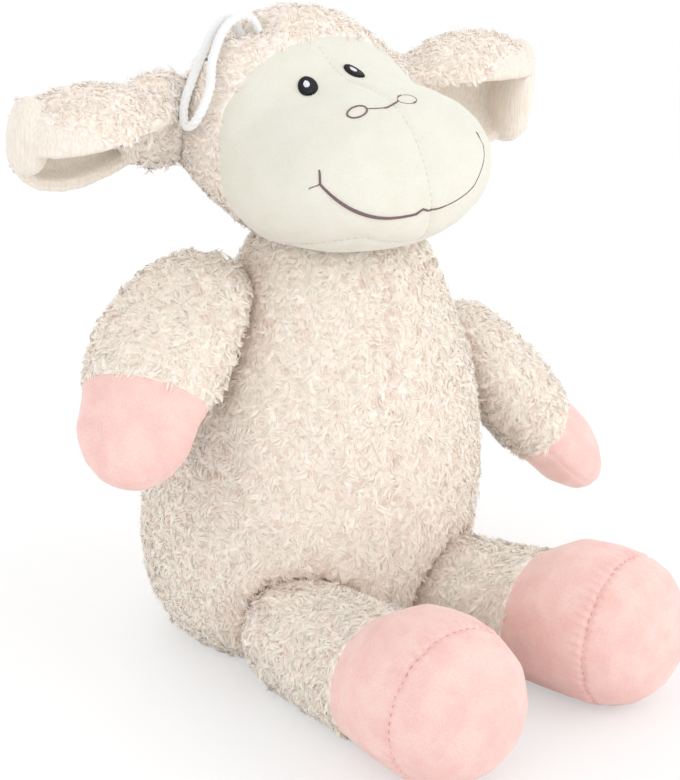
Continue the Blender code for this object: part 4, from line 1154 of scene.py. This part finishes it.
PUCKER_DEPTH, PUCKER_PITCH, PUCKER_START = 0.55 * MM, 3.1 * MM, 1.2 * MM
SIDE_REACH, SOLE_REACH, FINE_REACH = 4.2 * MM, 1.8 * MM, 9 * MM
SOLE_GAP, SOLE_SPOTS, SOLE_THREAD = 1.5 * MM, 110, 0.13
WANDER_STEPS, STRENGTH_STEPS, AT_SEAM_SHARE = 60, 40, 0.15


def refine_near(piece, line, reach):
    """Divides the faces of a piece that are near a line."""
    near = line_gaps(places(piece), line)
    only(piece)
    bpy.ops.object.mode_set(mode="EDIT")
    bpy.ops.mesh.select_all(action="DESELECT")
    bpy.ops.object.mode_set(mode="OBJECT")
    for face in piece.data.polygons:
        face.select = bool(near[list(face.vertices)].min() < reach)
    bpy.ops.object.mode_set(mode="EDIT")
    bpy.ops.mesh.select_mode(type="FACE")
    bpy.ops.mesh.subdivide(number_cuts=1, smoothness=1.0)
    bpy.ops.object.mode_set(mode="OBJECT")


def pucker_sole(foot, side):
    """Gathers the foot along its sole seam and adds the seam's stitches."""
    sole, foot_side = [f"sole_{side}"], [f"foot_side_{side}"]
    points = places(foot)
    rim = points[distances(points, sole)[:, 0] < SOLE_GAP]
    centre = rim.mean(0)
    spread = np.linalg.svd(rim - centre, full_matrices=False)[2]
    around = turn_about(spread[0], spread[1])
    route = seam_route(foot, foot_side, sole, centre, around, SOLE_SPOTS)
    line = np.array([place[:] for place, _ in route])
    refine_near(foot, line, FINE_REACH)
    points = places(foot)
    length = np.linalg.norm(np.diff(line, axis=0), axis=1).sum()
    gap, turn = line_gaps(points, line), around(points - centre)
    rng = np.random.default_rng(5)
    wander = np.interp(turn, np.linspace(-math.pi, math.pi, WANDER_STEPS),
                       np.cumsum(rng.normal(0, 0.55, WANDER_STEPS)))
    strength = np.interp(turn, np.linspace(-math.pi, math.pi, STRENGTH_STEPS),
                         rng.uniform(0.35, 1.0, STRENGTH_STEPS))
    onto_side = distances(points, foot_side)[:, 0] < distances(points, sole)[:, 0]
    reach = np.where(onto_side, SIDE_REACH, SOLE_REACH)
    folds = np.cos(turn * length / PUCKER_PITCH + wander) * strength
    depth = PUCKER_DEPTH * folds * fading(gap, reach) * rising(gap, 0, PUCKER_START, AT_SEAM_SHARE)
    move_to(foot, points + directions(foot) * depth[:, None])
    stitches = thread_line(route, "sole", SOLE_THREAD)
    sew(f"sole_stitches_{side}", f"leg_{side}", stitches, PINK_THREAD, "pink_plush")


for side, parts in limbs.items():
    pucker_sole(parts["foot"], side)

LOOK = {"spacing": 1.45 * MM, "strands": 10, "length": 4.4 * MM, "rise": (12, 55), "fall": (80, 122),
        "curl": (10, 130), "spread": 1.15 * MM, "width": 0.36 * MM, "sink": 0.2 * MM, "stray": 0.7,
        "soft": 0.88, "hair_spacing": 1.5 * MM, "hair": 0.08 * MM, "reach": 2.8 * MM}
CROWN_LOOK = dict(LOOK, length=3.8 * MM, spread=1.05 * MM, stray=1.2)
EAR_LOOK = dict(LOOK, length=3.8 * MM, spread=1.05 * MM, stray=0.9)
SHAG_LOOK = dict(LOOK, spacing=3.6 * MM, length=7.0 * MM, spread=0.7 * MM, stray=0.25, rise=(50, 75),
                 fall=(80, 95), hair_spacing=3 * MM)
ROOT_REACH, FACE_GAP, LINING_GAP = 20 * MM, 0.9 * MM, 0.9 * MM
DOWNWARD, BACKWARD = (0.0, 0.0, -1.0), (0.0, 0.6, -0.7)
# Darkening of the wool's tone: random open patches, and painted shade beside other parts and along seams
OPEN_DARKNESS, BESIDE_PAINTED_SHADE, SEAM_PAINTED_SHADE = 0.75, 0.75, 0.9
OPEN_GRAIN, OPEN_START, SEAM_GRAIN, SEAM_SHADE_REACH = 230, 0.12, 160, 1.6 * MM


def clear_of(gap, *trees):
    """Keeps the points that are at least a gap away from what is in these search trees."""
    return lambda points: np.all([tree_gaps(points, tree) > gap for tree in trees], axis=0)


def solid_trees(*names):
    """Search trees of these solids."""
    return [TREES[name] for name in names]


def patches(points, grain):
    """Smooth random value of each point, from about -1 to 1."""
    return np.array([mathutils_noise.noise(Vector(point) * grain) for point in points])


def wool_tone_and_shade(level, spots, rarity, members=(), reach=1.0, seams=()):
    """Mostly cream wool, darker in some locks and open patches at random, with painted shade close to other
    parts and along the seam grooves.
    """
    def tone(points, rng):
        dark = level + spots * rng.random(len(points)) ** rarity
        dark += OPEN_DARKNESS * np.clip(patches(points, OPEN_GRAIN) - OPEN_START, 0, 1)
        if members:
            dark += BESIDE_PAINTED_SHADE * fading(distances(points, members).min(1), reach)
        if seams:
            along_seam = fading(seam_distances(points, seams), SEAM_SHADE_REACH)
            dark += SEAM_PAINTED_SHADE * along_seam * np.clip(0.5 + patches(points, SEAM_GRAIN), 0, 1)
        return np.clip(dark, 0, 1)
    return tone


BESIDE_TORSO = [f"sleeve_inner_{side}" for side in SIDES] + [f"leg_sleeve_top_{side}" for side in SIDES]
TORSO_MIDDLE = (6 * MM, -12 * MM)


def quarter(is_front, is_left):
    """Picks the points in one quarter of the torso."""
    return lambda points: (((points[:, 1] < TORSO_MIDDLE[1]) == is_front)
                           & ((points[:, 0] >= TORSO_MIDDLE[0]) == is_left))


torso_parts = {"_front": quarter(True, False), "_front_left": quarter(True, True),
               "_back": quarter(False, False), "_back_left": quarter(False, True)}
grow_wool("torso_wool", "torso", torso_cloth, LOOK, WOOL,
          clear_of(1.5 * MM, *solid_trees(*BESIDE_TORSO, *FACE_PANELS, "nape_panel")), DOWNWARD,
          wool_tone_and_shade(0.05, 0.6, 9, BESIDE_TORSO, 7 * MM, TORSO_PANELS), 11, torso_parts)
grow_wool("head_wool", "head", head_cloth, CROWN_LOOK, CROWN_WOOL, clear_of(FACE_GAP, FACE_TREE),
          BACKWARD, wool_tone_and_shade(0.1, 0.4, 9, ["ear_gather_right", "ear_gather_left"], 8 * MM), 12)
for index, (side, parts) in enumerate(limbs.items()):
    for kind, beside, seed in (("sleeve", panels("hand", side), 20), ("leg", panels("foot", side)[:1], 30)):
        grow_wool(f"{kind}_wool_{side}", f"{LIMB_CLOTHS[kind][0]}_{side}", parts[kind], LOOK, WOOL,
                  clear_of(1.0 * MM, *solid_trees(*TORSO_PANELS, *beside)), DOWNWARD,
                  wool_tone_and_shade(0.05, 0.5, 9, TORSO_PANELS, 6 * MM), seed + index)
    grow_wool(f"ear_wool_pile_{side}", f"ear_{side}", parts["ear"], EAR_LOOK, CROWN_WOOL,
              clear_of(LINING_GAP, search_tree(parts["lining"])), DOWNWARD, wool_tone_and_shade(0.1, 0.4, 6),
              40 + index)
    root = TREES[f"ear_gather_{side}"]
    grow_wool(f"ear_wool_shag_{side}", f"ear_{side}", parts["ear"], SHAG_LOOK, CROWN_WOOL,
              lambda points: tree_gaps(points, root) < ROOT_REACH, DOWNWARD,
              lambda points, rng: np.zeros(len(points)), 50 + index)

attach(torso_cloth, "torso", *TORSO_PANELS, *TORSO_BULK)
attach(head_cloth, "head", *HEAD_WOOL_PANELS, "head_filling")
attach(face_cloth, "head", *FACE_PANELS)
for side, parts in limbs.items():
    for kind, (body, _, _, _) in LIMB_CLOTHS.items():
        filling = [f"{body}_filling_{side}"] if kind in ("sleeve", "leg") else []
        attach(parts[kind], f"{body}_{side}", *panels(kind, side), *filling)

neck_cloth = cloth_form("neck_cloth", ["neck_stitching"], "neck")
give_finish(neck_cloth, BACKING)
attach(neck_cloth, "neck", "neck_stitching")
